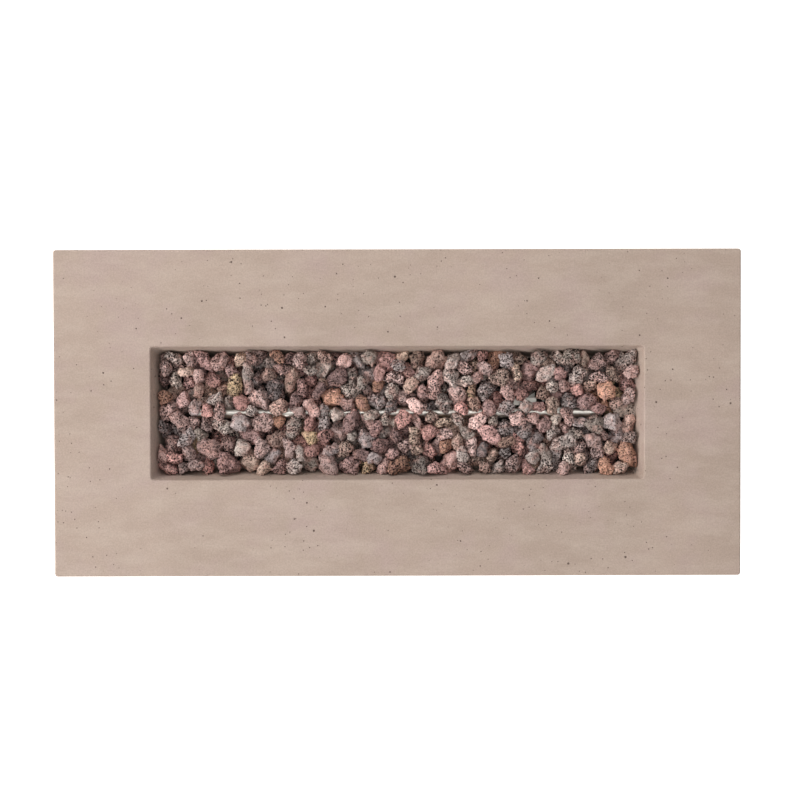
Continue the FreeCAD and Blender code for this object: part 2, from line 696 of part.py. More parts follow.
def deck_screw_places():
    """The equal short screws of the pan, the cradles, the sensor bracket and the heat shield."""
    places = [((PAN_SCREW_X * side, PAN_SCREW_Y * end, PAN_TOP), "up") for side, end in CORNERS]
    cradle_top = PAN_TOP + CRADLE_FOOT
    for side, end in CORNERS:
        places.append(((CRADLE_SPACING / 2 * side, CRADLE_SCREW_Y * end, cradle_top), "up"))
    for side in SIDES:
        x = SENSOR_X + PROBE_SPREAD * side
        places.append(((x, BRACKET_SCREW_Y, PAN_TOP + BRACKET_SHEET), "up"))
    for side, end in CORNERS:
        x = STANDOFF_SPREAD / 2 * side
        places.append(((x, STANDOFF_WIDTH / 2 * end, SHIELD_TOP - SHIELD_SHEET), "down"))
    return places


def screws():
    screw = Piece("screw_pattern", kept=False)
    screw.turned([(0, -SCREW_LENGTH), (SCREW_RADIUS, -SCREW_LENGTH), (SCREW_RADIUS, 0), (SCREW_HEAD_RADIUS, 0),
                  (SCREW_HEAD_RADIUS - 0.8, SCREW_HEAD), (0, SCREW_HEAD)])
    group("deck_screws", screw, deck_screw_places())
    group("wall_screws", screw, wall_screw_places())


def burner():
    tube = Piece("burner_tube", (0, 0, TUBE_Z))
    half = TUBE_LENGTH / 2
    bore = TUBE_RADIUS - TUBE_WALL
    tube.prism("YZ", [circle(0, 0, TUBE_RADIUS), circle(0, 0, bore)], -half, half)
    row = PORT_PITCH * (PORT_COUNT - 1)
    port = tube.prism("XZ", [circle(-row / 2, 0, PORT_RADIUS)], -TUBE_RADIUS, TUBE_RADIUS, cut=True)
    tube.repeat(port, "H_Axis", row, PORT_COUNT)
    tube.prism("XY", [circle(0, 0, STUB_BORE)], -TUBE_RADIUS, -bore / 2, cut=True)
    cap = Piece("end_cap_pattern", kept=False)
    plug = TUBE_WALL * 8
    inside = bore - TURNING_PLAY
    cap.turned([(0, 0), (inside, 0), (inside, -plug), (inside - TUBE_WALL, -plug),
                (inside - TUBE_WALL, -TUBE_WALL), (0, -TUBE_WALL)])
    group("burner_end_caps", cap, [((half, 0, TUBE_Z), "right"), ((-half, 0, TUBE_Z), "left")])
    burner_stub()
    burner_cradles()


def burner_stub():
    """The inlet pipe, fitted to the underside of the burner tube and nutted under the pan."""
    stub = Piece("inlet_stub", (0, 0, TUBE_Z))
    bottom = STUB_BOTTOM - TUBE_Z
    stub.prism("XY", [circle(0, 0, STUB_RADIUS), circle(0, 0, STUB_BORE)], bottom, bottom + (TUBE_Z - STUB_BOTTOM))
    stub.prism("YZ", [circle(0, 0, TUBE_RADIUS + TURNING_PLAY)], -TUBE_RADIUS, TUBE_RADIUS, cut=True)
    nut = Piece("stub_lock_nut", (0, 0, PAN_BOTTOM - STUB_NUT_HEIGHT))
    nut.prism("XY", [hexagon(STUB_NUT_FLATS), circle(0, 0, STUB_RADIUS + TURNING_PLAY)], 0, STUB_NUT_HEIGHT)


def burner_cradles():
    """Two cast cradles that carry the tube clear of the pan."""
    cradle = Piece("cradle_pattern", kept=False)
    half = CRADLE_LENGTH / 2
    shoulder = TUBE_RADIUS + 3.65
    top = TUBE_LIFT * 2
    cradle.prism("YZ", [[(-CRADLE_REACH, 0), (CRADLE_REACH, 0), (CRADLE_REACH, CRADLE_FOOT),
                         (shoulder, CRADLE_FOOT), (shoulder, top), (-shoulder, top),
                         (-shoulder, CRADLE_FOOT), (-CRADLE_REACH, CRADLE_FOOT)]], -half, half)
    seat = circle(0, TUBE_LIFT + TUBE_RADIUS, TUBE_RADIUS + TURNING_PLAY)
    cradle.prism("YZ", [seat], -half, half, cut=True)
    feet_holes = [circle(0, CRADLE_SCREW_Y * end, SCREW_HOLE) for end in SIDES]
    cradle.prism("XY", feet_holes, 0, CRADLE_FOOT, cut=True)
    group("burner_cradles", cradle, [((CRADLE_SPACING / 2 * side, 0, PAN_TOP), "up") for side in SIDES])


# Flame sensor and spark electrode


def sensor():
    place = (SENSOR_X, 0, PAN_TOP)
    half = HOOD_LENGTH / 2
    bracket = Piece("sensor_bracket", place)
    shelf_top = SHELF_RISE + BRACKET_SHEET
    back = BRACKET_Y + BRACKET_SHEET
    bracket.prism("YZ", [[(HOOD_Y, SHELF_RISE), (BRACKET_Y, SHELF_RISE), (BRACKET_Y, 0),
                          (BRACKET_Y + BRACKET_FOOT, 0), (BRACKET_Y + BRACKET_FOOT, BRACKET_SHEET),
                          (back, BRACKET_SHEET), (back, shelf_top), (HOOD_Y, shelf_top)]], -half, half)
    bracket.prism("XY", [circle(-PROBE_SPREAD, PROBE_Y, PROBE_RADIUS + TURNING_PLAY),
                         circle(PROBE_SPREAD, PROBE_Y, INSULATOR_RADIUS + TURNING_PLAY)],
                  SHELF_RISE, shelf_top, cut=True)
    feet_holes = [circle(PROBE_SPREAD * side, BRACKET_SCREW_Y, SCREW_HOLE) for side in SIDES]
    bracket.prism("XY", feet_holes, 0, BRACKET_SHEET, cut=True)
    hood = Piece("flame_hood", place)
    inside = back - HOOD_SHEET
    hood.prism("YZ", [[(inside, shelf_top), (back, shelf_top), (back, HOOD_RISE), (HOOD_Y, HOOD_RISE),
                       (HOOD_Y, HOOD_RISE - HOOD_SHEET), (inside, HOOD_RISE - HOOD_SHEET)]], -half, half)
    probe = Piece("thermocouple_probe", (SENSOR_X - PROBE_SPREAD, PROBE_Y, PAN_TOP))
    probe.turned([(0, -PROBE_DROP), (PROBE_RADIUS, -PROBE_DROP), (PROBE_RADIUS, shelf_top),
                  (PROBE_RADIUS + 1.5, shelf_top), (PROBE_RADIUS + 1.5, shelf_top + 2),
                  (PROBE_RADIUS, shelf_top + 2), (PROBE_RADIUS, PROBE_RISE - 2), (PROBE_RADIUS - 1.2, PROBE_RISE),
                  (0, PROBE_RISE)])
    insulator = Piece("electrode_insulator", (SENSOR_X + PROBE_SPREAD, PROBE_Y, PAN_TOP))
    wire_hole = ELECTRODE_RADIUS + TURNING_PLAY
    insulator.turned([(wire_hole, -PROBE_DROP), (INSULATOR_RADIUS, -PROBE_DROP), (INSULATOR_RADIUS, shelf_top),
                      (INSULATOR_RADIUS + 1.5, shelf_top), (INSULATOR_RADIUS + 1.5, shelf_top + 3),
                      (wire_hole, PROBE_RISE - 8)])
    electrode = Piece("spark_electrode", (SENSOR_X + PROBE_SPREAD, PROBE_Y, PAN_TOP))
    electrode.prism("XY", [circle(0, 0, ELECTRODE_RADIUS)], -PROBE_DROP, PROBE_RISE)


# Heat shield and air mixer


def heat_shield():
    shield = Piece("heat_shield", (0, 0, SHIELD_TOP - SHIELD_SHEET))
    holes = corner_circles(STANDOFF_SPREAD / 2, STANDOFF_WIDTH / 2, SCREW_HOLE)
    holes.append(circle(0, 0, MIXER_SOCKET_RADIUS + 8))
    for side in SIDES:
        holes.append(circle(SENSOR_X + PROBE_SPREAD * side, PROBE_Y, INSULATOR_RADIUS + 3))
    shield.prism("XY", [centred(SHIELD_LENGTH / 2, SHIELD_WIDTH / 2)] + holes, 0, SHIELD_SHEET)
    standoff = Piece("standoff_pattern", kept=False)
    standoff.turned([(SCREW_HOLE, 0), (STANDOFF_RADIUS, 0), (STANDOFF_RADIUS, SHIELD_DROP), (0, SHIELD_DROP),
                     (0, SCREW_LENGTH), (SCREW_HOLE, SCREW_LENGTH)])
    group("shield_standoffs", standoff, [((STANDOFF_SPREAD / 2 * side, STANDOFF_WIDTH / 2 * end, SHIELD_TOP), "up")
                                         for side, end in CORNERS])


def window_cut(piece, reach, low):
    """Two crossing slots that leave four air windows."""
    half = WINDOW_WIDTH / 2
    piece.block((-reach, reach), (-half, half), (low, low + WINDOW_HEIGHT), cut=True)
    piece.block((-half, half), (-reach, reach), (low, low + WINDOW_HEIGHT), cut=True)


def air_mixer():
    """Gas leaves the jet inside the mixer and draws air in through the windows."""
    body = Piece("mixer_body", (0, 0, MIXER_BOTTOM))
    shoulder = MIXER_SHOULDER - MIXER_BOTTOM
    top = MIXER_TOP - MIXER_BOTTOM
    stop = STUB_BOTTOM - MIXER_BOTTOM
    socket = STUB_RADIUS + TURNING_PLAY
    body.turned([(STUB_BORE, 0), (MIXER_RADIUS, 0), (MIXER_RADIUS, shoulder), (MIXER_SOCKET_RADIUS, shoulder),
                 (MIXER_SOCKET_RADIUS, top), (socket, top), (socket, stop), (STUB_BORE, stop)])
    low = (shoulder - WINDOW_HEIGHT) / 2
    window_cut(body, MIXER_RADIUS + 1, low)
    shutter = Piece("air_shutter", (0, 0, MIXER_BOTTOM))
    inside = MIXER_RADIUS + TURNING_PLAY
    outside = inside + SHUTTER_WALL
    shutter.prism("XY", [circle(0, 0, outside), circle(0, 0, inside)], FIT_GAP, shoulder - FIT_GAP)
    tab = low + WINDOW_HEIGHT + 2
    shutter.block((inside + SHUTTER_WALL / 2, outside + 9), (-2, 2), (tab, tab + 4))
    window_cut(shutter, outside + 1, low)
    jet = Piece("gas_jet", (0, 0, MIXER_BOTTOM))
    half = JET_BLOCK / 2
    deep = -JET_FLANGE - JET_BLOCK
    jet.block((-half, half), (-half, half), (deep, -JET_FLANGE))
    jet.prism("XY", [circle(0, 0, MIXER_SOCKET_RADIUS)], -JET_FLANGE, 0)
    spigot = STUB_BORE - TURNING_PLAY
    jet.prism("XY", [circle(0, 0, spigot)], 0, JET_SPIGOT / 2)
    jet.prism("XY", [circle(0, 0, spigot / 2)], JET_SPIGOT / 2, JET_SPIGOT)
    jet.prism("YZ", [circle(0, -JET_FLANGE - half, NECK_RADIUS)], half, half + NECK_LENGTH)
    jet.prism("XY", [circle(0, 0, SCREW_RADIUS)], -JET_FLANGE - half, JET_SPIGOT - 2, cut=True)
    jet.prism("XY", [circle(0, 0, SCREW_RADIUS / 2)], JET_SPIGOT - 2, JET_SPIGOT, cut=True)
    jet.prism("YZ", [circle(0, -JET_FLANGE - half, GAS_TUBE_BORE)], 0, half + NECK_LENGTH, cut=True)


# Gas tubes


def bent_tube(name, corner, path_plane, first, second, end_plane, end_offset):
    """A tube along two straight legs with one bend between them. The corner is the body's origin."""
    piece = Piece(name, corner)
    path = piece.sketch(path_plane, [])
    bend = GAS_TUBE_BEND
    start = [value if not is_zero(value) else 0 for value in first]
    near = [bend * math.copysign(1, number(value)) if not is_zero(value) else 0 for value in first]
    leave = [bend * math.copysign(1, number(value)) if not is_zero(value) else 0 for value in second]
    ends = [(start, near), (leave, second)]
    for leg, (a, b) in enumerate(ends):
        line = Part.LineSegment(V(number(a[0]), number(a[1]), 0), V(number(b[0]), number(b[1]), 0))
        path.addGeometry(line, False)
        fix_point(path, leg, 1, a[0], a[1])
        fix_point(path, leg, 2, b[0], b[1])
    a = V(number(near[0]), number(near[1]), 0)
    b = V(number(leave[0]), number(leave[1]), 0)
    centre = a + b
    middle = centre - (a + b) / (a + b).Length * bend.value
    path.addGeometry(Part.Arc(a, middle, b), False)
    arc = path.Geometry[2]
    starts_at_a = (arc.StartPoint - a).Length < 1e-6
    a_end, b_end = (1, 2) if starts_at_a else (2, 1)
    path.addConstraint(Sketcher.Constraint("Tangent", 0, 2, 2, a_end))
    path.addConstraint(Sketcher.Constraint("Coincident", 1, 1, 2, b_end))
    rings = [circle(0, 0, GAS_TUBE_RADIUS), circle(0, 0, GAS_TUBE_BORE)]
    profile = piece.sketch(end_plane, rings, end_offset)
    sweep = piece.body.newObject("PartDesign::AdditivePipe", f"{piece.body.Name}Sweep")
    sweep.Profile = profile
    sweep.Spine = (path, ["Edge1", "Edge3", "Edge2"])


def gas_tubes():
    port_x = JET_BLOCK / 2 + NECK_LENGTH
    valve_out = VALVE_BACK_Y + NECK_LENGTH
    valve_in = VALVE_Z - VALVE_WIDTH / 2 - NECK_LENGTH
    shutoff_out = SHUTOFF_Y - SHUTOFF_END
    shutoff_in = SHUTOFF_Y + SHUTOFF_END
    bulkhead_end = INLET_PANEL_Y - FITTING_INNER - NECK_LENGTH
    bent_tube("feed_tube", (VALVE_X, 0, JET_PORT_Z), "XY", (0, valve_out), (port_x - VALVE_X, 0),
              "XZ", -valve_out)
    bent_tube("supply_tube", (VALVE_X, VALVE_INLET_Y, LINE_Z), "YZ", (0, valve_in - LINE_Z),
              (shutoff_out - VALVE_INLET_Y, 0), "XY", valve_in - LINE_Z)
    inlet = Piece("inlet_tube", (VALVE_X, 0, LINE_Z))
    inlet.prism("XZ", [circle(0, 0, GAS_TUBE_RADIUS), circle(0, 0, GAS_TUBE_BORE)], shutoff_in, bulkhead_end)
    nut = Piece("tube_nut_pattern", kept=False)
    nut.prism("XY", [hexagon(TUBE_NUT_FLATS), circle(0, 0, GAS_TUBE_RADIUS + TURNING_PLAY)],
              -TUBE_NUT_NECK, TUBE_NUT_NECK)
    nut.prism("XY", [circle(0, 0, NECK_RADIUS + TURNING_PLAY)], -TUBE_NUT_NECK, 0, cut=True)
    group("tube_nuts", nut, [
        ((port_x, 0, JET_PORT_Z), "right"),
        ((VALVE_X, valve_out, VALVE_Z), "back"),
        ((VALVE_X, VALVE_INLET_Y, valve_in), "down"),
        ((VALVE_X, shutoff_out, LINE_Z), "front"),
        ((VALVE_X, shutoff_in, LINE_Z), "back"),
        ((VALVE_X, bulkhead_end, LINE_Z), "front"),
    ])


# Control tray, gas valve and igniter. Their bodies face the front, so height in them is outward.


def tray(name, at, facing, half_wide, half_tall, holes):
    """A folded tray: sleeve through the wall, flange behind it, and a panel at its deep end."""
    piece = Piece(name, at, facing)
    sleeve = TRAY_DEPTH
    flange = TRAY_DEPTH + TRAY_SETBACK - WALL
    wide, tall = half_wide + TRAY_FLANGE, half_tall + TRAY_FLANGE
    piece.prism("XY", [centred(half_wide, half_tall)], 0, sleeve)
    piece.prism("XY", [centred(wide, tall)], flange - TRAY_SHEET, flange)
    piece.prism("XY", [centred(half_wide - TRAY_SHEET, half_tall - TRAY_SHEET)], FRAME_SHEET, sleeve, cut=True)
    piece.prism("XY", holes, 0, FRAME_SHEET, cut=True)
    return piece, flange


def control_tray():
    neck = PANEL_NECK_RADIUS + TURNING_PLAY
    holes = [circle(VALVE_X - TRAY_X, 0, neck), circle(IGNITER_X - TRAY_X, 0, neck)]
    piece, flange = tray("control_tray", (TRAY_X, PANEL_Y, VALVE_Z), "front",
                         TRAY_LENGTH / 2, TRAY_WIDTH / 2, holes)
    reach = TRAY_LENGTH / 2 + TRAY_FLANGE / 2
    rise = TRAY_WIDTH / 2 - 10
    piece.prism("XY", corner_circles(reach, rise, SCREW_HOLE), flange - TRAY_SHEET, flange, cut=True)
    nut = Piece("panel_nut_pattern", kept=False)
    nut.prism("XY", [hexagon(PANEL_NUT_FLATS), circle(0, 0, neck)], 0, PANEL_NUT_HEIGHT)
    group("panel_nuts", nut, [
        ((VALVE_X, PANEL_FACE_Y, VALVE_Z), "front"),
        ((IGNITER_X, PANEL_FACE_Y, VALVE_Z), "front"),
        ((VALVE_X, INLET_PANEL_Y, LINE_Z), "front"),
    ])


def gas_valve():
    """Valve body with a sprung plunger and a spindle that is pushed in and then turned."""
    place = (VALVE_X, PANEL_Y, VALVE_Z)
    half = VALVE_WIDTH / 2
    body = Piece("valve_body", place, "front")
    body.block((-half, half), (-half, half), (-VALVE_DEPTH, 0))
    body.prism("XY", [circle(0, 0, PANEL_NECK_RADIUS)], 0, VALVE_NECK)
    body.prism("XY", [circle(0, 0, NECK_RADIUS)], -VALVE_DEPTH - NECK_LENGTH, -VALVE_DEPTH)
    body.prism("XZ", [circle(0, -VALVE_INLET_DEPTH, NECK_RADIUS)], -half - NECK_LENGTH, -half)
    body.prism("XY", [circle(0, 0, SPINDLE_RADIUS + TURNING_PLAY)], -VALVE_NECK, VALVE_NECK, cut=True)
    body.prism("XY", [circle(0, 0, VALVE_CAVITY_RADIUS)], -VALVE_CAVITY_DEPTH, -VALVE_NECK, cut=True)
    body.prism("XY", [circle(0, 0, GAS_TUBE_BORE)], -VALVE_DEPTH - NECK_LENGTH, -VALVE_CAVITY_DEPTH, cut=True)
    body.prism("XZ", [circle(0, -VALVE_INLET_DEPTH, GAS_TUBE_BORE)], -half - NECK_LENGTH, -SPINDLE_RADIUS, cut=True)
    magnet_x, magnet_y = -VALVE_WIDTH / 3, VALVE_WIDTH / 3
    bore = MAGNET_LENGTH / 2
    body.prism("XY", [circle(magnet_x, magnet_y, MAGNET_RADIUS + TURNING_PLAY)],
               -VALVE_DEPTH, bore - VALVE_DEPTH, cut=True)
    magnet = Piece("magnet_unit", place, "front")
    magnet.prism("XY", [circle(magnet_x, magnet_y, MAGNET_RADIUS)], -VALVE_DEPTH - bore, bore - VALVE_DEPTH)
    knob_and_spindle(place)


def knob_and_spindle(place):
    flange_top = -VALVE_NECK - FIT_GAP
    flange_low = flange_top - SPINDLE_FLANGE
    plunger_top = flange_low - FIT_GAP
    knob_low = VALVE_NECK + KNOB_TRAVEL + FREE_GAP * 2
    knob_top = knob_low + KNOB_HEIGHT
    tip = knob_top - 4
    spindle = Piece("valve_spindle", place, "front")
    spindle.turned([(0, flange_low), (SPINDLE_FLANGE_RADIUS, flange_low), (SPINDLE_FLANGE_RADIUS, flange_top),
                    (SPINDLE_RADIUS, flange_top), (SPINDLE_RADIUS, tip), (0, tip)])
    plunger = Piece("valve_plunger", place, "front")
    plunger.prism("XY", [circle(0, 0, PLUNGER_RADIUS)], plunger_top - PLUNGER_THICK, plunger_top)
    knob = Piece("control_knob", place, "front")
    bore = SPINDLE_RADIUS + TURNING_PLAY
    skirt = KNOB_HEIGHT / 3
    knob.turned([(bore, knob_low), (KNOB_RADIUS, knob_low), (KNOB_RADIUS - 1, knob_low + skirt),
                 (0, knob_low + skirt), (0, tip), (bore, tip)])
    knob.prism("XY", [centred(KNOB_GRIP / 2, KNOB_RADIUS - 1)], knob_low + skirt, knob_top)
    knob.prism("XY", [circle(0, 0, bore)], knob_low, tip, cut=True)
    spring("knob_spring", place, plunger_top - PLUNGER_THICK, -VALVE_CAVITY_DEPTH, PLUNGER_RADIUS - 2.5, 0.8, 4)


def spring(name, place, top, bottom, radius, wire, turns):
    """A coil between two flat faces, with its ends a hair off them."""
    piece = Piece(name, place, "front")
    low = bottom + wire + FIT_GAP
    profile = piece.sketch("XZ", [centred(wire, wire, radius, low)])
    coil = piece.body.newObject("PartDesign::AdditiveHelix", f"{piece.body.Name}Helix")
    coil.Profile = profile
    coil.ReferenceAxis = (profile, ["V_Axis"])
    coil.Mode = "height-turns-growth"
    coil.Height = number(top - low - wire - FIT_GAP)
    bind(coil, "Height", top - low - wire - FIT_GAP)
    coil.Turns = turns
    return piece


def igniter():
    """A piezo igniter: pressing its button makes the spark."""
    place = (IGNITER_X, PANEL_Y, VALVE_Z)
    throat = BUTTON_RADIUS + TURNING_PLAY
    cavity = BUTTON_FLANGE_RADIUS + TURNING_PLAY
    shoulder = -FRAME_SHEET
    floor = -IGNITER_DEPTH + 15
    body = Piece("igniter_body", place, "front")
    body.turned([(0, -IGNITER_DEPTH), (IGNITER_RADIUS, -IGNITER_DEPTH), (IGNITER_RADIUS, 0),
                 (PANEL_NECK_RADIUS, 0), (PANEL_NECK_RADIUS, VALVE_NECK), (throat, VALVE_NECK),
                 (throat, shoulder), (cavity, shoulder), (cavity, floor), (0, floor)])
    body.prism("XY", [circle(0, 0, 3)], -IGNITER_DEPTH - IGNITER_TERMINAL, -IGNITER_DEPTH)
    button = Piece("igniter_button", place, "front")
    low = shoulder - FIT_GAP - 4
    tip = VALVE_NECK + BUTTON_TRAVEL + 2
    button.turned([(0, low), (BUTTON_FLANGE_RADIUS, low), (BUTTON_FLANGE_RADIUS, shoulder - FIT_GAP),
                   (BUTTON_RADIUS, shoulder - FIT_GAP), (BUTTON_RADIUS, tip - 1), (BUTTON_RADIUS - 1, tip), (0, tip)])
    spring("button_spring", place, low, floor, BUTTON_FLANGE_RADIUS - 2.5, 0.6, 4)


# Shut-off valve and gas inlet


def shutoff():
    """A quarter-turn ball valve in the gas line, shut while its lever lies across the line."""
    place = (VALVE_X, SHUTOFF_Y, LINE_Z)
    half = SHUTOFF_LENGTH / 2
    body = Piece("shutoff_body", place)
    body.prism("XZ", [circle(0, 0, SHUTOFF_RADIUS)], -half, half)
    body.prism("XZ", [circle(0, 0, NECK_RADIUS)], -SHUTOFF_END, SHUTOFF_END)
    boss = SHUTOFF_RADIUS + NECK_LENGTH
    body.prism("XY", [circle(0, 0, STEM_RADIUS + 3)], 0, boss)
    body.prism("XZ", [circle(0, 0, GAS_TUBE_BORE)], -SHUTOFF_END, SHUTOFF_END, cut=True)
    body.prism("XY", [circle(0, 0, STEM_RADIUS + TURNING_PLAY)], 0, boss, cut=True)
    hollow = body.body.newObject("PartDesign::SubtractiveSphere", "BallSeat")
    hollow.Radius = number(BALL_RADIUS + TURNING_PLAY)
    bind(hollow, "Radius", BALL_RADIUS + TURNING_PLAY)
    ball = Piece("shutoff_stem", place)
    sphere = ball.body.newObject("PartDesign::AdditiveSphere", "Ball")
    sphere.Radius = number(BALL_RADIUS)
    bind(sphere, "Radius", BALL_RADIUS)
    ball.prism("XY", [circle(0, 0, STEM_RADIUS)], 0, STEM_RISE)
    ball.prism("YZ", [circle(0, 0, GAS_TUBE_BORE)], -BALL_RADIUS, BALL_RADIUS, cut=True)
    lever = Piece("shutoff_lever", place)
    width = STEM_RADIUS + 3
    lever.block((-width, LEVER_LENGTH), (-width, width), (STEM_RISE - 3, STEM_RISE))
    lever.prism("XY", [circle(0, 0, STEM_RADIUS + TURNING_PLAY)], STEM_RISE - 3, STEM_RISE, cut=True)


def gas_inlet():
    """The bulkhead fitting in its own tray, pointing out through the back wall."""
    half = INLET_TRAY_WIDTH / 2
    neck = PANEL_NECK_RADIUS + TURNING_PLAY
    piece, flange = tray("inlet_tray", (VALVE_X, INLET_PANEL_Y, LINE_Z), "back", half, half, [circle(0, 0, neck)])
    holes = [circle((half + TRAY_FLANGE / 2) * side, 0, SCREW_HOLE) for side in SIDES]
    piece.prism("XY", holes, flange - TRAY_SHEET, flange, cut=True)
    fitting = Piece("bulkhead_fitting", (VALVE_X, INLET_PANEL_Y + FRAME_SHEET, LINE_Z), "back")
    inner = -FITTING_INNER - FRAME_SHEET
    seat = FITTING_FLANGE + FLARE_LENGTH
    fitting.turned([(GAS_TUBE_BORE, inner - NECK_LENGTH), (NECK_RADIUS, inner - NECK_LENGTH), (NECK_RADIUS, inner),
                    (PANEL_NECK_RADIUS, inner), (PANEL_NECK_RADIUS, 0), (FLARE_RADIUS, 0), (FLARE_RADIUS, seat),
                    (GAS_TUBE_BORE + 1, seat + 3), (GAS_TUBE_BORE, seat + 3)])
    fitting.prism("XY", [hexagon(FITTING_FLATS), circle(0, 0, FLARE_RADIUS - 1)], 0, FITTING_FLANGE)


# Service door. Its frame and leaf are worked out from the inner face of the right wall.


def hinge_places():
    return [DOOR_Z + HINGE_SPACING / 2 * side for side in SIDES]


def service_door():
    half = DOOR_OPENING / 2
    rise = DOOR_OPENING_HEIGHT / 2
    back = INNER_X - FRAME_SHEET
    frame = Piece("door_frame", (0, 0, DOOR_Z))
    frame.prism("YZ", [centred(half + FRAME_FLANGE, rise + FRAME_FLANGE)], back, INNER_X)
    frame.prism("YZ", [centred(half, rise), centred(half - FRAME_SHEET, rise - FRAME_SHEET)],
                INNER_X, HALF_LENGTH - TRAY_SETBACK)
    frame.prism("YZ", [centred(half - FRAME_LIP, rise - FRAME_LIP)], back, INNER_X, cut=True)
    frame.prism("YZ", corner_circles(half + FRAME_FLANGE / 2, rise - 20, SCREW_HOLE), back, INNER_X, cut=True)
    leaf_x = INNER_X + FREE_GAP
    face_x = leaf_x + DOOR_SHEET
    leaf = Piece("door_leaf", (0, 0, DOOR_Z))
    leaf_half = half - FRAME_SHEET - DOOR_GAP
    leaf_rise = rise - FRAME_SHEET - DOOR_GAP
    leaf.prism("YZ", [centred(leaf_half, leaf_rise)], leaf_x, face_x)
    louvres(leaf, face_x)
    pull(leaf, leaf_half, face_x)
    hinges(frame, leaf, half - FRAME_SHEET, face_x)
    catch = Piece("door_magnet", (0, 0, DOOR_Z))
    edge = half - FRAME_LIP
    wide = CATCH_WIDTH / 2
    catch.block((back - 8, leaf_x - FIT_GAP), (edge - 12, edge), (-wide, wide))
    catch.block((back - 3, back), (edge - 1, edge + 10), (-wide, wide))


def louvres(leaf, face_x):
    """Pressed louvres: a sloping hood outside, open below, with the slot behind it."""
    row = LOUVRE_PITCH * (LOUVRE_COUNT - 1)
    low = -row / 2 - LOUVRE_HEIGHT / 2
    skin = 1.5
    half = LOUVRE_LENGTH / 2
    hood = leaf.prism("XZ", [[(face_x - 1, low), (face_x + LOUVRE_REACH, low), (face_x, low + LOUVRE_HEIGHT),
                              (face_x - 1, low + LOUVRE_HEIGHT)]], -half, half)
    leaf.repeat(hood, "V_Axis", row, LOUVRE_COUNT)
    inner = half - skin
    slot = leaf.prism("XZ", [[(face_x - DOOR_SHEET, low), (face_x + LOUVRE_REACH - skin, low),
                              (face_x, low + LOUVRE_HEIGHT - skin * 1.5),
                              (face_x - DOOR_SHEET, low + LOUVRE_HEIGHT - skin * 1.5)]], -inner, inner, cut=True)
    leaf.repeat(slot, "V_Axis", row, LOUVRE_COUNT)


def pull(leaf, leaf_half, face_x):
    """A folded finger pull near the free edge."""
    near = leaf_half - 28
    leaf.prism("XY", [[(face_x, near), (face_x + 11, near), (face_x + 11, near + 12), (face_x + 9.5, near + 12),
                       (face_x + 9.5, near + 1.5), (face_x, near + 1.5)]], -30, 30)


def hinges(frame, leaf, jamb, face_x):
    """Two hinges near the mouth of the opening, so that the leaf swings clear of the wall."""
    axis_y = -jamb + KNUCKLE_RADIUS + FIT_GAP
    axis_x = HALF_LENGTH - TRAY_SETBACK - KNUCKLE_RADIUS - 1
    half = KNUCKLE_LENGTH / 2
    bore = PIN_RADIUS + TURNING_PLAY
    strap = 1.5
    for side in SIDES:
        z = HINGE_SPACING / 2 * side
        leaf.prism("XY", [circle(axis_x, axis_y, KNUCKLE_RADIUS)], z - half, z + half)
        arm = axis_y + KNUCKLE_RADIUS
        leaf.prism("XY", [[(face_x - 1, arm - strap), (axis_x, arm - strap), (axis_x, arm),
                           (face_x + strap, arm), (face_x + strap, arm + 18), (face_x - 1, arm + 18)]],
                   z - half, z + half)
        leaf.prism("XY", [circle(axis_x, axis_y, bore)], z - half, z + half, cut=True)
        for end in SIDES:
            middle = z + (KNUCKLE_LENGTH + FREE_GAP) * end
            frame.prism("XY", [circle(axis_x, axis_y, KNUCKLE_RADIUS)], middle - half, middle + half)
            frame.prism("XY", [rectangle(axis_x - KNUCKLE_RADIUS * 3, axis_x, -jamb - FRAME_SHEET / 2, -jamb + strap)],
                        middle - half, middle + half)
            frame.prism("XY", [circle(axis_x, axis_y, bore)], middle - half, middle + half, cut=True)
    pin = Piece("hinge_pin_pattern", kept=False)
    length = KNUCKLE_LENGTH * 3 + FREE_GAP * 2
    pin.turned([(0, -length / 2), (PIN_RADIUS, -length / 2), (PIN_RADIUS, length / 2),
                (PIN_RADIUS + 1, length / 2), (PIN_RADIUS + 1, length / 2 + 1.5), (0, length / 2 + 1.5)])
    group("hinge_pins", pin, [((axis_x, axis_y, z), "up") for z in hinge_places()])


def vent_grille():
    """A slotted plate over the opening in the left end."""
    grille = Piece("vent_grille", (-INNER_X, 0, DOOR_Z))
    half = VENT_LENGTH / 2
    rise = VENT_HEIGHT / 2
    holes = [circle((half + FRAME_FLANGE / 2) * side, 0, SCREW_HOLE) for side in SIDES]
    grille.prism("YZ", [centred(half + FRAME_FLANGE, rise + FRAME_FLANGE)] + holes, 0, FRAME_SHEET)
    row = VENT_PITCH * (VENT_SLOTS - 1)
    slot = grille.prism("YZ", [centred(half - VENT_SLOT, VENT_SLOT / 2, 0, -row / 2)], 0, FRAME_SHEET, cut=True)
    grille.repeat(slot, "V_Axis", row, VENT_SLOTS)


# Leads: held all along their way, so they are swept once along rounded routes


def rounded_route(points, bend):
    """Straight legs through the points, with a round bend at each one between the ends."""
    edges = []
    here = points[0]
    for before, corner, after in zip(points, points[1:], points[2:]):
        back = (before - corner).normalize()
        ahead = (after - corner).normalize()
        half_angle = back.getAngle(ahead) / 2
        cut = bend / math.tan(half_angle)
        start = corner + back * cut
        finish = corner + ahead * cut
        bisector = (back + ahead).normalize()
        middle = corner + bisector * (bend / math.sin(half_angle) - bend)
        edges.append(Part.makeLine(here, start))
        edges.append(Part.Arc(start, middle, finish).toShape())
        here = finish
    edges.append(Part.makeLine(here, points[-1]))
    return Part.Wire(edges)


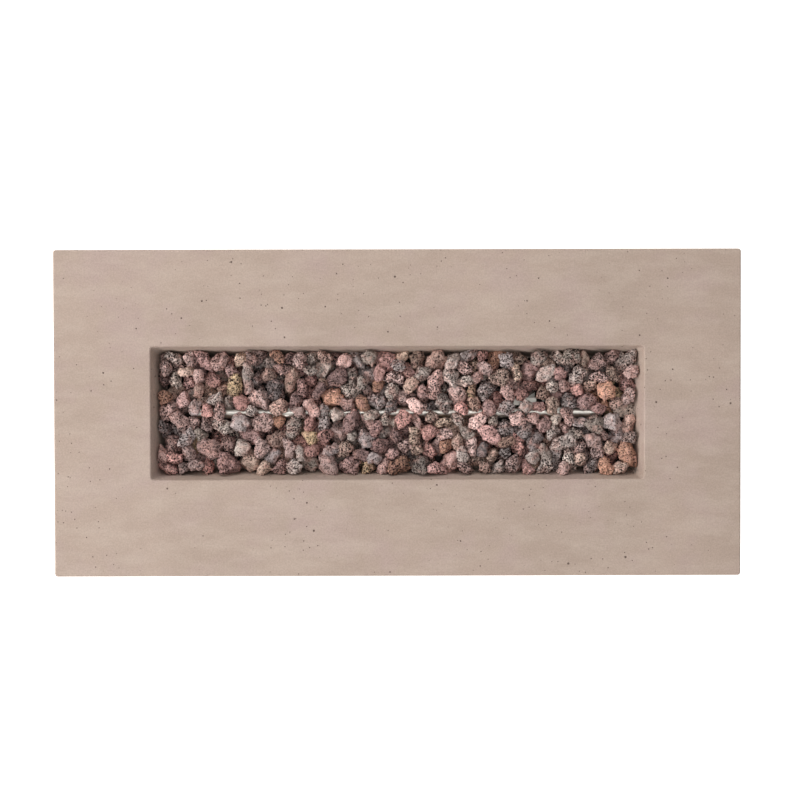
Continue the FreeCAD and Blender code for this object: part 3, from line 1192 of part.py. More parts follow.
def lead(name, points, radius, bend):
    route = rounded_route([V(*[number(value) for value in point]) for point in points], bend)
    start = route.Edges[0]
    direction = start.tangentAt(start.FirstParameter)
    ring = Part.Wire(Part.makeCircle(radius, route.Edges[0].Vertexes[0].Point, direction))
    feature = DOC.addObject("Part::Feature", name.title().replace("_", ""))
    feature.Label = name
    feature.Shape = route.makePipeShell([ring], True, True)
    PARTS.append(feature)


def leads():
    below = PAN_TOP - PROBE_DROP
    drop = SHIELD_TOP - LEAD_DROP
    magnet = (VALVE_X - VALVE_WIDTH / 3, VALVE_BACK_Y + MAGNET_LENGTH / 2, VALVE_Z + VALVE_WIDTH / 3)
    lead("thermocouple_lead", [
        (SENSOR_X - PROBE_SPREAD, PROBE_Y, below),
        (SENSOR_X - PROBE_SPREAD, PROBE_Y, drop),
        (VALVE_X - LEAD_ASIDE, PANEL_Y + LEAD_CROSSING, drop),
        (magnet[0], PANEL_Y + LEAD_AWAY, magnet[2]),
        magnet,
    ], SENSOR_LEAD_RADIUS.value, LEAD_BEND.value)
    lead("spark_lead", [
        (SENSOR_X + PROBE_SPREAD, PROBE_Y, below),
        (SENSOR_X + PROBE_SPREAD, PROBE_Y, drop),
        (IGNITER_X, PANEL_Y + LEAD_CROSSING, drop - LEAD_STEP),
        (IGNITER_X, PANEL_Y + LEAD_AWAY, VALVE_Z),
        (IGNITER_X, PANEL_Y + IGNITER_DEPTH + IGNITER_TERMINAL, VALVE_Z),
    ], SPARK_LEAD_RADIUS.value, LEAD_BEND.value)


# Lava rock: spheres dropped one by one into the well, then cut to angular stones


class Bed:
    """The space that the rocks lie in. Heights here start at the top of the pan."""

    def __init__(self):
        self.dice = random.Random(ROCK_SEED)
        self.rocks = []
        self.grid = {}
        self.cell = ROCK_LARGE.value * 3
        self.half_x = LEDGE_X.value
        self.half_y = LEDGE_Y.value
        self.floor = PAN_TOP.value
        slope = math.atan2(WELL_INSET.value, WELL_DROP.value)
        self.lean = (math.cos(slope), math.sin(slope))
        self.wall_foot = LEDGE_Z.value - self.floor
        self.axis = TUBE_Z.value - self.floor
        self.boxes = self.solid_boxes()

    def solid_boxes(self):
        """Boxes round what stands on the pan: lips, cradles, hood, bracket foot and screw heads."""
        lip = PAN_LIP.value - PAN_SHEET.value
        pan_x, pan_y, sheet = PAN_X.value, PAN_Y.value, PAN_SHEET.value
        boxes = [(side * pan_x - (sheet if side > 0 else 0), side * pan_x + (sheet if side < 0 else 0),
                  -pan_y, pan_y, lip) for side in SIDES]
        boxes += [(-pan_x, pan_x, side * pan_y - (sheet if side > 0 else 0),
                   side * pan_y + (sheet if side < 0 else 0), lip) for side in SIDES]
        half = CRADLE_LENGTH.value / 2
        for side in SIDES:
            x = CRADLE_SPACING.value / 2 * side
            shoulder = TUBE_RADIUS.value + 3.65
            boxes.append((x - half, x + half, -shoulder, shoulder, TUBE_LIFT.value * 2))
            reach = CRADLE_REACH.value
            boxes.append((x - half, x + half, -reach, reach, CRADLE_FOOT.value + SCREW_HEAD.value))
        x = SENSOR_X.value
        half = HOOD_LENGTH.value / 2
        back = BRACKET_Y.value + BRACKET_SHEET.value
        boxes.append((x - half, x + half, 0, back, HOOD_RISE.value))
        foot = BRACKET_SHEET.value + SCREW_HEAD.value
        boxes.append((x - half, x + half, back, BRACKET_Y.value + BRACKET_FOOT.value, foot))
        for side, end in CORNERS:
            head = SCREW_HEAD_RADIUS.value
            x, y = PAN_SCREW_X.value * side, PAN_SCREW_Y.value * end
            boxes.append((x - head, x + head, y - head, y + head, SCREW_HEAD.value))
        return boxes

    def near(self, x, y):
        column, row = int(x // self.cell), int(y // self.cell)
        for i in (-1, 0, 1):
            for j in (-1, 0, 1):
                yield from self.grid.get((column + i, row + j), ())

    def rest_height(self, x, y, radius):
        """The lowest height at which a ball dropped at x and y comes to rest."""
        height = radius
        for left, right, low, high, top in self.boxes:
            dx = max(left - x, 0, x - right)
            dy = max(low - y, 0, y - high)
            room = radius * radius - dx * dx - dy * dy
            if room > 0:
                height = max(height, top + math.sqrt(room))
        along, across = self.lean
        for outside, half in ((abs(x), self.half_x), (abs(y), self.half_y)):
            need = (radius - along * (half - outside)) / across + self.wall_foot
            height = max(height, need)
        reach = radius + TUBE_RADIUS.value
        if abs(y) < reach and abs(x) < TUBE_LENGTH.value / 2 + radius / 2:
            height = max(height, self.axis + math.sqrt(reach * reach - y * y))
        for other in self.near(x, y):
            reach = radius + other[3]
            room = reach * reach - (x - other[0]) ** 2 - (y - other[1]) ** 2
            if room > 0:
                height = max(height, other[2] + math.sqrt(room))
        return height

    def settle(self, radius):
        """Try many places, roll from the best one to a low point near it, and return it."""
        best = None
        limit_x, limit_y = self.half_x, self.half_y
        for _ in range(70):
            x = self.dice.uniform(-limit_x, limit_x)
            y = self.dice.uniform(-limit_y, limit_y)
            score = self.rest_height(x, y, radius)
            if best is None or score < best[0]:
                best = (score, x, y)
        step = radius
        for _ in range(60):
            x = best[1] + self.dice.uniform(-step, step)
            y = best[2] + self.dice.uniform(-step, step)
            score = self.rest_height(x, y, radius)
            if score < best[0]:
                best = (score, x, y)
            else:
                step *= 0.93
        return best[1], best[2], best[0]

    def fill(self):
        """Drop rocks until a run of them finds no place below the top of the fill."""
        misses = 0
        while misses < 60:
            radius = self.dice.triangular(ROCK_SMALL.value, ROCK_LARGE.value, ROCK_TYPICAL.value)
            if misses:
                radius = self.dice.uniform(ROCK_SMALL.value, ROCK_TYPICAL.value)
            x, y, z = self.settle(radius)
            if z + radius * 0.65 > ROCK_FILL.value - 6:
                misses += 1
                continue
            misses = 0
            rock = (x, y, z, radius)
            self.rocks.append(rock)
            self.grid.setdefault((int(x // self.cell), int(y // self.cell)), []).append(rock)
        return self.rocks

    def planes(self, rock):
        """The flat limits of a rock: a direction and a distance from its middle for each neighbour."""
        x, y, z, radius = rock
        here = V(x, y, z)
        gap = ROCK_GAP.value
        limits = [(V(0, 0, -1), z - gap), (V(0, 0, 1), ROCK_FILL.value - z)]
        for left, right, low, high, top in self.boxes:
            spot = V(min(max(x, left), right), min(max(y, low), high), min(z, top))
            limits.append((spot - here, (spot - here).Length - gap))
        along, across = self.lean
        for coordinate, half, axis in ((x, self.half_x, V(1, 0, 0)), (y, self.half_y, V(0, 1, 0))):
            for side in SIDES:
                distance = along * (half - coordinate * side) + across * (z - self.wall_foot)
                limits.append((axis * (side * along) - V(0, 0, across), distance - gap))
        for side, end in CORNERS:
            toward = V(side * along, end * along, -2 * across)
            room = along * (self.half_x - x * side + self.half_y - y * end)
            room += 2 * across * (z - self.wall_foot) - WELL_ROUND.value
            limits.append((toward, room / toward.Length - gap))
        reach_x = min(max(x, -TUBE_LENGTH.value / 2), TUBE_LENGTH.value / 2)
        spot = V(reach_x, 0, self.axis)
        offset = (spot - here).Length - TUBE_RADIUS.value
        limits.append((spot - here, offset - gap))
        for other in self.near(x, y):
            if other is rock:
                continue
            link = V(other[0], other[1], other[2]) - here
            distance = link.Length
            share = (distance ** 2 + radius ** 2 - other[3] ** 2) / (2 * distance)
            limits.append((link, share - gap / 2))
        return [(V(direction).normalize(), distance) for direction, distance in limits]


def rock_points(rock, limits, dice):
    """Corner points of a rock: where it touches something, and a few more spread about it."""
    x, y, z, radius = rock
    spread = []
    lengths = []
    for direction, distance in sorted(limits, key=lambda limit: limit[1]):
        touching = distance < radius + 0.4
        apart = all(direction.dot(other) < 0.8 for other in spread)
        if touching and apart and len(spread) < 5:
            spread.append(direction)
            lengths.append(distance)
    grain = V(dice.gauss(0, 1), dice.gauss(0, 1), dice.gauss(0, 0.5)).normalize()
    stretch = dice.uniform(0, 0.7)
    longest = ROCK_LARGE.value * 1.5
    tries = 0
    while len(spread) < 12:
        tries += 1
        direction = V(dice.gauss(0, 1), dice.gauss(0, 1), dice.gauss(0, 1)).normalize()
        closest = max([direction.dot(other) for other in spread], default=-1)
        if closest < 0.75 or tries > 400:
            along = direction.dot(grain) ** 2
            spread.append(direction)
            lengths.append(min(longest, radius * (1 + stretch * along) * dice.uniform(1.05, 1.35)))
    points = []
    for direction, reach in zip(spread, lengths):
        for normal, distance in limits:
            facing = normal.dot(direction)
            if facing > 0.01:
                reach = min(reach, distance / facing)
        points.append(V(x, y, z) + direction * reach)
    return points


def hull_faces(points):
    """The triangles of the convex hull of a few points, found by trying every three of them."""
    faces = []
    count = len(points)
    for i in range(count):
        for j in range(i + 1, count):
            for k in range(j + 1, count):
                normal = (points[j] - points[i]).cross(points[k] - points[i])
                if normal.Length < 1e-6:
                    continue
                normal.normalize()
                heights = [(point - points[i]).dot(normal) for point in points]
                if max(heights) < 1e-7:
                    faces.append((i, j, k))
                elif min(heights) > -1e-7:
                    faces.append((i, k, j))
    return faces


def stone(points):
    """A closed stone with flat faces round the points."""
    faces = []
    for corners in hull_faces(points):
        loop = [points[i] for i in corners]
        faces.append(Part.Face(Part.makePolygon(loop + [loop[0]])))
    solid = Part.makeSolid(Part.makeShell(faces))
    if solid.Volume < 0:
        solid.reverse()
    return solid


def lava_rocks():
    bed = Bed()
    rocks = bed.fill()
    shares = [share for _, share in ROCK_COLOURS]
    piles = {name: [] for name, _ in ROCK_COLOURS}
    for rock in rocks:
        limits = bed.planes(rock)
        solid = stone(rock_points(rock, limits, bed.dice))
        while not solid.isValid():
            solid = stone(rock_points(rock, limits, bed.dice))
        solid.translate(V(0, 0, bed.floor))
        colour = bed.dice.choices([name for name, _ in ROCK_COLOURS], shares)[0]
        piles[colour].append(solid)
    for name, pile in piles.items():
        feature = DOC.addObject("Part::Feature", name.title().replace("_", ""))
        feature.Label = name
        feature.Shape = Part.makeCompound(pile)
        PARTS.append(feature)


def build():
    DOC.recompute()
    concrete_shell()
    feet()
    pan_and_gasket()
    screws()
    burner()
    sensor()
    heat_shield()
    air_mixer()
    gas_tubes()
    control_tray()
    gas_valve()
    igniter()
    shutoff()
    gas_inlet()
    service_door()
    vent_grille()
    leads()
    lava_rocks()
    DOC.recompute()


def check(item):
    """Stop on a step that failed or a shape that isn't sound."""
    steps = item.Group if item.TypeId == "PartDesign::Body" else []
    for step in [item, *steps]:
        if {"Invalid", "Error"} & set(step.State):
            raise RuntimeError(f"{item.Label}: {step.Name} is {step.State}")
    if item.Shape.isNull() or not item.Shape.isValid():
        raise RuntimeError(f"{item.Label}: the shape is not sound")


def write_parts():
    os.makedirs("parts", exist_ok=True)
    for item in PARTS:
        check(item)
        item.Shape.exportStep(f"parts/{item.Label}.step")
        print(f"{item.Label}: {len(item.Shape.Solids)} solid, {item.Shape.Volume:.0f} mm3")


build()
write_parts()
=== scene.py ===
import math

import bpy
import numpy as np
from bpy.props import FloatProperty, FloatVectorProperty, IntProperty, PointerProperty
from bpy.types import Operator, Panel, PropertyGroup
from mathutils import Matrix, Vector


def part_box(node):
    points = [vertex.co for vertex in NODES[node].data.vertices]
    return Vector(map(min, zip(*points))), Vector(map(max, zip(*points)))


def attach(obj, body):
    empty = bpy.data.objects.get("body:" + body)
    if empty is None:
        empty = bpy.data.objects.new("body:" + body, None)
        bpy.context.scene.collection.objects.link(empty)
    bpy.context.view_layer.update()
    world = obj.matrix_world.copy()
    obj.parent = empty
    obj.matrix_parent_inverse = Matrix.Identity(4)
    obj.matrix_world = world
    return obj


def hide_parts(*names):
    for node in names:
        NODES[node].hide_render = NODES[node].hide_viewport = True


bl_info = {
    "name": "Fire pit table",
    "version": (1, 0, 0),
    "blender": (4, 5, 0),
    "location": "3D View > Sidebar > Fire table",
    "description": "Dresses a concrete fire table with lava rock, a tube burner and recessed controls",
    "category": "Object",
}

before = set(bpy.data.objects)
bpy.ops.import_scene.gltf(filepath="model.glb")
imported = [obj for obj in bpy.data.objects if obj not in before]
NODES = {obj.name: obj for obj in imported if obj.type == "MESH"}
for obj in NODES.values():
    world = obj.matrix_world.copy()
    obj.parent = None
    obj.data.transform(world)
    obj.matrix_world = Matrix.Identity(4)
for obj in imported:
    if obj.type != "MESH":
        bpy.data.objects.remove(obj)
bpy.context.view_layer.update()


MM = 0.001
GOLDEN_RATIO = (1 + math.sqrt(5)) / 2
SHELL_LOW, SHELL_HIGH = (np.array(corner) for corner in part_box("concrete_shell"))
TABLE_TOP = float(SHELL_HIGH[2])

# Shades of the dry stones, before the painted shade in the bubbles and the iron
ROCK_SHADES = {
    "lava_rocks_pink": ("#BE9C95", "#B08B86", "#C5A59E", "#A1837F", "#B78B84", "#BA9F99"),
    "lava_rocks_grey": ("#B0A19A", "#A0928A", "#BBACA3", "#928583", "#AA9B91", "#A49794"),
    "lava_rocks_ochre": ("#B79D90", "#AE9186", "#BCA493", "#A8897B",
                         "#B59C8E", "#AD9385", "#B59C7E", "#B28874"),
}
STONE_BRIGHTNESS = (0.62, 1.64)
STONE_FROTH = (0.3, 1.0)

# A stone's lumps: how many waves, their turns over a stone, and what their heights are divided by
LUMP_WAVES = 9
LUMP_TURNS = (1.4, 9.0)
LUMP_DIVISORS = (1.0, 2.4)
# Stones come to rest on their flat sides, so their long axes lie mostly level
LONG_AXIS_LEAN = (1, 1, 0.35)

# The camera's place over the table in metres, its turns in degrees and its lens in mm, found by laying
# the rendered outline over the photographed one
CAMERA_PLACE = (-0.0005, 0.0855)
CAMERA_TURNS = (-1.123, -0.115, -0.138)
CAMERA_LENS = 65.37
# How far the floor reaches from the table's middle, in metres
FLOOR_REACH = 12.0


def linear(hex_colour):
    """An sRGB hex colour as linear red, green, blue and alpha."""
    parts = np.array([int(hex_colour[i:i + 2], 16) for i in (1, 3, 5)]) / 255
    bent = np.where(parts <= 0.04045, parts / 12.92, ((parts + 0.055) / 1.055) ** 2.4)
    return (*bent.tolist(), 1.0)


# Sizes and colours that a user would change


def colour_property(name, description, hex_colour):
    """A colour, given as sRGB hex."""
    return FloatVectorProperty(name=name, description=description, default=linear(hex_colour),
                               min=0, max=1, size=4, subtype="COLOR")


def length_property(name, description, metres):
    """A length."""
    return FloatProperty(name=name, description=description, default=metres, min=0,
                         subtype="DISTANCE", unit="LENGTH")


def share_property(name, description, share):
    """A share, mostly between 0 and 1."""
    return FloatProperty(name=name, description=description, default=share, min=0, soft_max=1,
                         subtype="FACTOR")


def power_property(name, description, watts):
    """The power of a light."""
    return FloatProperty(name=name, description=description, default=watts, min=0, unit="POWER")


class ConcreteLook(PropertyGroup):
    body: colour_property("Concrete", "The main beige of the cast concrete", "#B5A092")
    pale: colour_property("Pale bloom", "Where lime has bloomed at the surface", "#C0AEA0")
    deep: colour_property("Deep clouds", "Where the mix dried darker", "#AC988A")
    rosy: colour_property("Rosy clouds", "Where the pigment is denser", "#B29C92")
    hole: colour_property("Air hole shade", "The shade inside the small air holes", "#5A483F")
    clouds: length_property("Clouds", "Usual width of the deep and pale clouds", 0.3125)
    pigment: length_property("Pigment", "Usual width of the rosy clouds", 0.1111)
    smears: length_property("Smears", "Usual width of the lime smears", 0.03333)
    grain: length_property("Sand grain", "Size of the sand that shows", 0.0016)
    hole_width: length_property("Air hole", "Widest air hole in the surface", 0.0054)
    hole_spacing: length_property("Hole spacing", "Usual distance between wide air holes", 0.029)
    hole_patches: length_property("Hole patches", "Usual width of a patch with many air holes", 0.14286)


class RockLook(PropertyGroup):
    splits: IntProperty(name="Splits", description="Cuts along each edge of the round blank",
                        default=7, min=1)
    rounding: FloatProperty(name="Rounding", description="Higher keeps the stones more angular",
                            default=22.0, min=2)
    growth: FloatProperty(name="Growth", description="Makes up for what the rounding takes off",
                          default=1.1, min=0)
    lumps: share_property("Lumps", "Height of the lumps, as a share of the stone", 0.15)
    stretch: share_property("Stretch", "How much longer than wide the longest stones are", 0.65)
    pits: IntProperty(name="Pits", description="Large bubbles on each stone", default=60, min=1)
    pit_depth: length_property("Pit depth", "Depth of the large gas bubbles", 0.0030)
    pit_width: length_property("Pit width", "Width of the large gas bubbles", 0.0048)
    bubble: length_property("Bubble spacing", "Usual distance between open bubbles", 0.0042)
    froth: length_property("Froth spacing", "Usual distance between the smallest bubbles", 0.0024)
    # Painted shade: this colour fills each large open bubble and stands for the shade in the pit.
    painted_bubble_shade: colour_property("Bubble shade", "The dark inside of an open bubble", "#362B28")
    iron: colour_property("Iron stain", "The dull rose that iron leaves in patches", "#B98D82")


class StageLook(PropertyGroup):
    floor: colour_property("Floor", "Plain pale floor", "#FAFAF8")
    sky: FloatProperty(name="Sky", description="Strength of the even light from all round",
                       default=0.45, min=0)
    glow: FloatProperty(name="Floor glow", description="Light from the floor, as on a lit table",
                        default=0.7, min=0)
    window: power_property("Window", "Power of the soft light at the left", 62.0)
    fill: power_property("Fill", "Power of the soft lights at the front and back", 18.0)
    overhead: power_property("Overhead", "Power of the soft light high above the table", 14.0)
    light_width: length_property("Light width", "Level side of each soft light", 5.0)
    light_height: length_property("Light height", "Upright side of each soft light", 2.0)
    light_fan: FloatProperty(name="Light fan", description="Angle over which a soft light spreads",
                             default=math.radians(70), subtype="ANGLE", unit="ROTATION")
    camera_rise: length_property("Camera rise", "Camera above the top of the table", 3.0)


# Materials


def add(tree, kind, settings=None, **inputs):
    """Add a node, set its properties, and give its inputs values or links. The input Base Color is
    written Base_Color, and i0, i1 and so on stand for inputs by number."""
    node = tree.nodes.new(kind)
    for name, value in (settings or {}).items():
        setattr(node, name, value)
    for name, value in inputs.items():
        by_number = name[0] == "i" and name[1:].isdigit()
        socket = node.inputs[int(name[1:]) if by_number else name.replace("_", " ")]
        if isinstance(value, bpy.types.NodeSocket):
            tree.links.new(value, socket)
        else:
            socket.default_value = value
    return node


def new_material(name):
    """An empty material with its output, its main shader and the object's own coordinates."""
    material = bpy.data.materials.new(name)
    material.use_nodes = True
    tree = material.node_tree
    tree.nodes.clear()
    shader = add(tree, "ShaderNodeBsdfPrincipled")
    add(tree, "ShaderNodeOutputMaterial", Surface=shader.outputs["BSDF"])
    place = add(tree, "ShaderNodeTexCoord").outputs["Object"]
    return material, tree, shader, place


def concrete_colour(tree, place, look, smears, sand):
    """Three coats over the deepest beige, each let through by a noise: the main beige in clouds, denser
    pigment in smaller rosy ones, and lime bloom in smears. Then the sand makes each grain a little
    lighter or darker."""
    clouds = add(tree, "ShaderNodeTexNoise", Vector=place, Scale=1 / look.clouds, Detail=6.0,
                 Roughness=0.62, Distortion=0.5)
    pigment = add(tree, "ShaderNodeTexNoise", Vector=place, Scale=1 / look.pigment, Detail=4.0,
                  Roughness=0.6)
    coats = ((clouds, 0.36, 0.64, 1.0, look.body),
             (pigment, 0.48, 0.66, 1.0, look.rosy),
             (smears, 0.42, 0.78, 0.75, look.pale))
    colour = look.deep
    for noise, bare, covered, most, coat in coats:
        share = add(tree, "ShaderNodeMapRange", Value=noise.outputs["Fac"], From_Min=bare,
                    From_Max=covered, To_Max=most)
        coated = add(tree, "ShaderNodeMix", {"data_type": "RGBA"}, i0=share.outputs[0], i6=colour,
                     i7=coat)
        colour = coated.outputs[2]
    sand_shade = add(tree, "ShaderNodeMapRange", Value=sand.outputs["Fac"], From_Min=0.3, From_Max=0.7,
                     To_Min=0.9, To_Max=1.07)
    grained = add(tree, "ShaderNodeMix", {"data_type": "RGBA", "blend_type": "MULTIPLY"}, i0=1.0,
                  i6=colour, i7=sand_shade.outputs[0])
    return grained.outputs[2]


def air_holes(tree, place, look):
    """Points strewn in space, with a hole wherever the surface comes close enough to one, so that each
    shows as a small round hole: 0 outside, 1 in its middle. A second set is closer and smaller. A noise
    leaves patches with fewer and smaller holes."""
    patches = add(tree, "ShaderNodeTexNoise", Vector=place, Scale=1 / look.hole_patches, Detail=2.0)
    holes = []
    for spacing_share, width_share in ((1.0, 1.0), (0.45, 1.15)):
        # The distance in a cell texture is counted in cells.
        reach = look.hole_width / 2 / look.hole_spacing * width_share
        cells = add(tree, "ShaderNodeTexVoronoi", Vector=place,
                    Scale=1 / (look.hole_spacing * spacing_share), Randomness=1.0)
        patch = add(tree, "ShaderNodeMapRange", Value=patches.outputs["Fac"], From_Min=0.38,
                    From_Max=0.62, To_Min=reach * 0.4, To_Max=reach)
        depth = add(tree, "ShaderNodeMath", {"operation": "SUBTRACT"}, i0=patch.outputs[0],
                    i1=cells.outputs["Distance"])
        edge = add(tree, "ShaderNodeMapRange", Value=depth.outputs[0], From_Min=0.0,
                   From_Max=reach * 0.35)
        holes.append(edge.outputs[0])
    return add(tree, "ShaderNodeMath", {"operation": "MAXIMUM"}, i0=holes[0], i1=holes[1]).outputs[0]


def cast_concrete(look):
    """Fibre-reinforced concrete, cast in a mould, rubbed down and sealed matt. Pigment and lime leave
    soft clouds, the sand gives a fine even grain, and air against the mould leaves small round holes,
    darkened with painted shade. The holes are drawn up to 5 mm wide, a little coarser than real, so that
    they show."""
    material, tree, shader, place = new_material("Cast concrete, sealed")
    # Rubbing down drew the smears out along the table, to nearly three times their width.
    drawn = add(tree, "ShaderNodeMapping", Vector=place, Scale=(0.35, 1.0, 1.0))
    smears = add(tree, "ShaderNodeTexNoise", Vector=drawn.outputs[0], Scale=1 / look.smears, Detail=6.0,
                 Roughness=0.66)
    # The finer of this noise's two octaves is as wide as a grain.
    sand = add(tree, "ShaderNodeTexNoise", Vector=place, Scale=1 / (look.grain * 2), Detail=2.0)
    solid = concrete_colour(tree, place, look, smears, sand)
    hollow = air_holes(tree, place, look)
    # Painted shade: the air holes are darkened toward the hole shade colour, nine tenths of the way in
    # their middles.
    hole_shade_share = add(tree, "ShaderNodeMath", {"operation": "MULTIPLY"}, i0=hollow, i1=0.9)
    colour = add(tree, "ShaderNodeMix", {"data_type": "RGBA"}, i0=hole_shade_share.outputs[0], i6=solid,
                 i7=look.hole)
    tree.links.new(colour.outputs[2], shader.inputs["Base Color"])
    rough = add(tree, "ShaderNodeMapRange", Value=smears.outputs["Fac"], To_Min=0.62, To_Max=0.86)
    tree.links.new(rough.outputs[0], shader.inputs["Roughness"])
    grit = add(tree, "ShaderNodeMath", {"operation": "MULTIPLY"}, i0=sand.outputs["Fac"], i1=0.15)
    sunk = add(tree, "ShaderNodeMath", {"operation": "SUBTRACT"}, i0=grit.outputs[0], i1=hollow)
    bump = add(tree, "ShaderNodeBump", Strength=0.9, Distance=1.2 * MM, Height=sunk.outputs[0])
    tree.links.new(bump.outputs[0], shader.inputs["Normal"])
    return material


def bubble_walls(tree, place, look):
    """The large and then the small open gas bubbles, each 0 inside a bubble and 1 on the wall round it.
    A bubble is a cell round a point in space, bent a little by a noise. How far it is open follows the
    stone's own froth and changes slowly from face to face."""
    face_width = 15.385 * MM
    bend_width = 3.846 * MM
    bend = add(tree, "ShaderNodeTexNoise", Vector=place, Scale=1 / bend_width, Detail=3.0, Roughness=0.7)
    shift = add(tree, "ShaderNodeVectorMath", {"operation": "SCALE"}, i0=bend.outputs["Color"],
                Scale=look.bubble * 1.1)
    bent = add(tree, "ShaderNodeVectorMath", {"operation": "ADD"}, i0=place, i1=shift.outputs[0])
    froth = add(tree, "ShaderNodeAttribute", {"attribute_name": "stone_froth"})
    faces = add(tree, "ShaderNodeTexNoise", Vector=place, Scale=1 / face_width, Detail=2.0)
    uneven = add(tree, "ShaderNodeMath", {"operation": "MULTIPLY_ADD"}, i0=faces.outputs["Fac"], i1=1.4,
                 i2=-0.7)
    openness = add(tree, "ShaderNodeMath", {"operation": "ADD"}, i0=froth.outputs["Fac"],
                   i1=uneven.outputs[0])
    walls = []
    for spacing, least, most in ((look.bubble, 0.19, 0.44), (look.froth, 0.26, 0.48)):
        cells = add(tree, "ShaderNodeTexVoronoi", Vector=bent.outputs[0], Scale=1 / spacing,
                    Randomness=1.0)
        reach = add(tree, "ShaderNodeMapRange", Value=openness.outputs[0], To_Min=least, To_Max=most)
        outside = add(tree, "ShaderNodeMath", {"operation": "SUBTRACT"}, i0=cells.outputs["Distance"],
                      i1=reach.outputs[0])
        wall = add(tree, "ShaderNodeMapRange", Value=outside.outputs[0], From_Min=-0.10, From_Max=0.06)
        walls.append(wall.outputs[0])
    return walls


def lava_rock(look):
    """Scoria, a frothy volcanic rock, crushed and tumbled. Broken gas bubbles leave round pits between
    thin walls, with painted shade in the pits and a painted highlight on the walls; iron in it turns from
    grey through pink to rust, with no gloss at all.
    The smallest bubbles are drawn at 2.4 mm, coarser than real, so that they show."""
    blotch_width = 14.286 * MM
    vein_width = 20.833 * MM
    material, tree, shader, place = new_material("Tumbled scoria")
    coarse, fine = bubble_walls(tree, place, look)
    own = add(tree, "ShaderNodeAttribute", {"attribute_name": "stone_colour"})
    veins = add(tree, "ShaderNodeTexNoise", Vector=place, Scale=1 / vein_width, Detail=4.0,
                Distortion=0.8)
    iron_share = add(tree, "ShaderNodeMapRange", Value=veins.outputs["Fac"], From_Min=0.46,
                     From_Max=0.66, To_Max=0.6)
    stained = add(tree, "ShaderNodeMix", {"data_type": "RGBA"}, i0=iron_share.outputs[0],
                  i6=own.outputs["Color"], i7=look.iron)
    blotches = add(tree, "ShaderNodeTexNoise", Vector=place, Scale=1 / blotch_width, Detail=6.0,
                   Roughness=0.86)
    dust = add(tree, "ShaderNodeMapRange", Value=blotches.outputs["Fac"], From_Min=0.3, From_Max=0.7,
               To_Min=0.62, To_Max=1.5)
    # Painted shade in the small bubbles and a painted highlight on their walls: 0.46 darkens, 1.16
    # lightens past the stone's own colour.
    froth_shade_and_highlight = add(tree, "ShaderNodeMapRange", Value=fine, To_Min=0.46, To_Max=1.16)
    # Random dust blotches times the painted shade and highlight of the froth.
    shade = add(tree, "ShaderNodeMath", {"operation": "MULTIPLY"}, i0=dust.outputs[0],
                i1=froth_shade_and_highlight.outputs[0])
    stone = add(tree, "ShaderNodeMix", {"data_type": "RGBA", "blend_type": "MULTIPLY"}, i0=1.0,
                i6=stained.outputs[2], i7=shade.outputs[0])
    # Painted shade inside each large open bubble, where the walls mask is 0.
    colour = add(tree, "ShaderNodeMix", {"data_type": "RGBA"}, i0=coarse, i6=look.painted_bubble_shade,
                 i7=stone.outputs[2])
    tree.links.new(colour.outputs[2], shader.inputs["Base Color"])
    shader.inputs["Roughness"].default_value = 0.95
    shader.inputs["Specular IOR Level"].default_value = 0.25
    relief = add(tree, "ShaderNodeMath", {"operation": "MULTIPLY_ADD"}, i0=fine, i1=0.6, i2=coarse)
    bump = add(tree, "ShaderNodeBump", Strength=1.0, Distance=2.8 * MM, Height=relief.outputs[0])
    tree.links.new(bump.outputs[0], shader.inputs["Normal"])
    return material


def even_finish(name, hex_colour, metallic, roughness, spread=0.06, grain=0.5 * MM, drawn=(1, 1, 1),
                relief=0.02 * MM):
    """A finish that is nearly even: a noise of the given grain shades it, roughens it and lifts it a
    little, drawn out along one axis where the real surface was brushed or pulled through a die."""
    material, tree, shader, place = new_material(name)
    along = add(tree, "ShaderNodeMapping", Vector=place, Scale=drawn)
    # The finest of this noise's three octaves is as wide as a grain.
    noise = add(tree, "ShaderNodeTexNoise", Vector=along.outputs[0], Scale=1 / (grain * 4), Detail=3.0)
    shade = add(tree, "ShaderNodeMapRange", Value=noise.outputs["Fac"], From_Min=0.3, From_Max=0.7,
                To_Min=1 - spread, To_Max=1 + spread)
    colour = add(tree, "ShaderNodeMix", {"data_type": "RGBA", "blend_type": "MULTIPLY"}, i0=1.0,
                 i6=linear(hex_colour), i7=shade.outputs[0])
    tree.links.new(colour.outputs[2], shader.inputs["Base Color"])
    shader.inputs["Metallic"].default_value = metallic
    rough = add(tree, "ShaderNodeMapRange", Value=noise.outputs["Fac"], To_Min=roughness - spread,
                To_Max=roughness + spread)
    tree.links.new(rough.outputs[0], shader.inputs["Roughness"])
    bump = add(tree, "ShaderNodeBump", Strength=0.5, Distance=relief, Height=noise.outputs["Fac"])
    tree.links.new(bump.outputs[0], shader.inputs["Normal"])
    return material


def drawn_stainless():
    """Stainless tube pulled through a die: a pale metal with a soft bright band along its crest and
    faint lines along its length. The lines are drawn at half a millimetre, coarser than real, so that
    they show."""
    return even_finish("Stainless tube, drawn", "#F6F0E6", 1.0, 0.36, drawn=(0.08, 1, 1))


def brushed_stainless():
    """Stainless sheet brushed lengthways: a calm pale metal whose highlights smear across the brush
    lines. The lines are drawn at half a millimetre, coarser than real, so that they show."""
    return even_finish("Stainless sheet, brushed", "#D2CEC6", 1.0, 0.5, drawn=(0.05, 1, 1))


def painted_shade_stainless():
    """Stainless sheet coloured a dark brown in cloudy patches and nearly matt, as painted shade: the dark
    stands for the deep shade under the stones, so the gaps between them read as black."""
    return even_finish("Stainless sheet, painted shade dark", "#3B3430", 0.5, 0.7, spread=0.15,
                       grain=3 * MM)


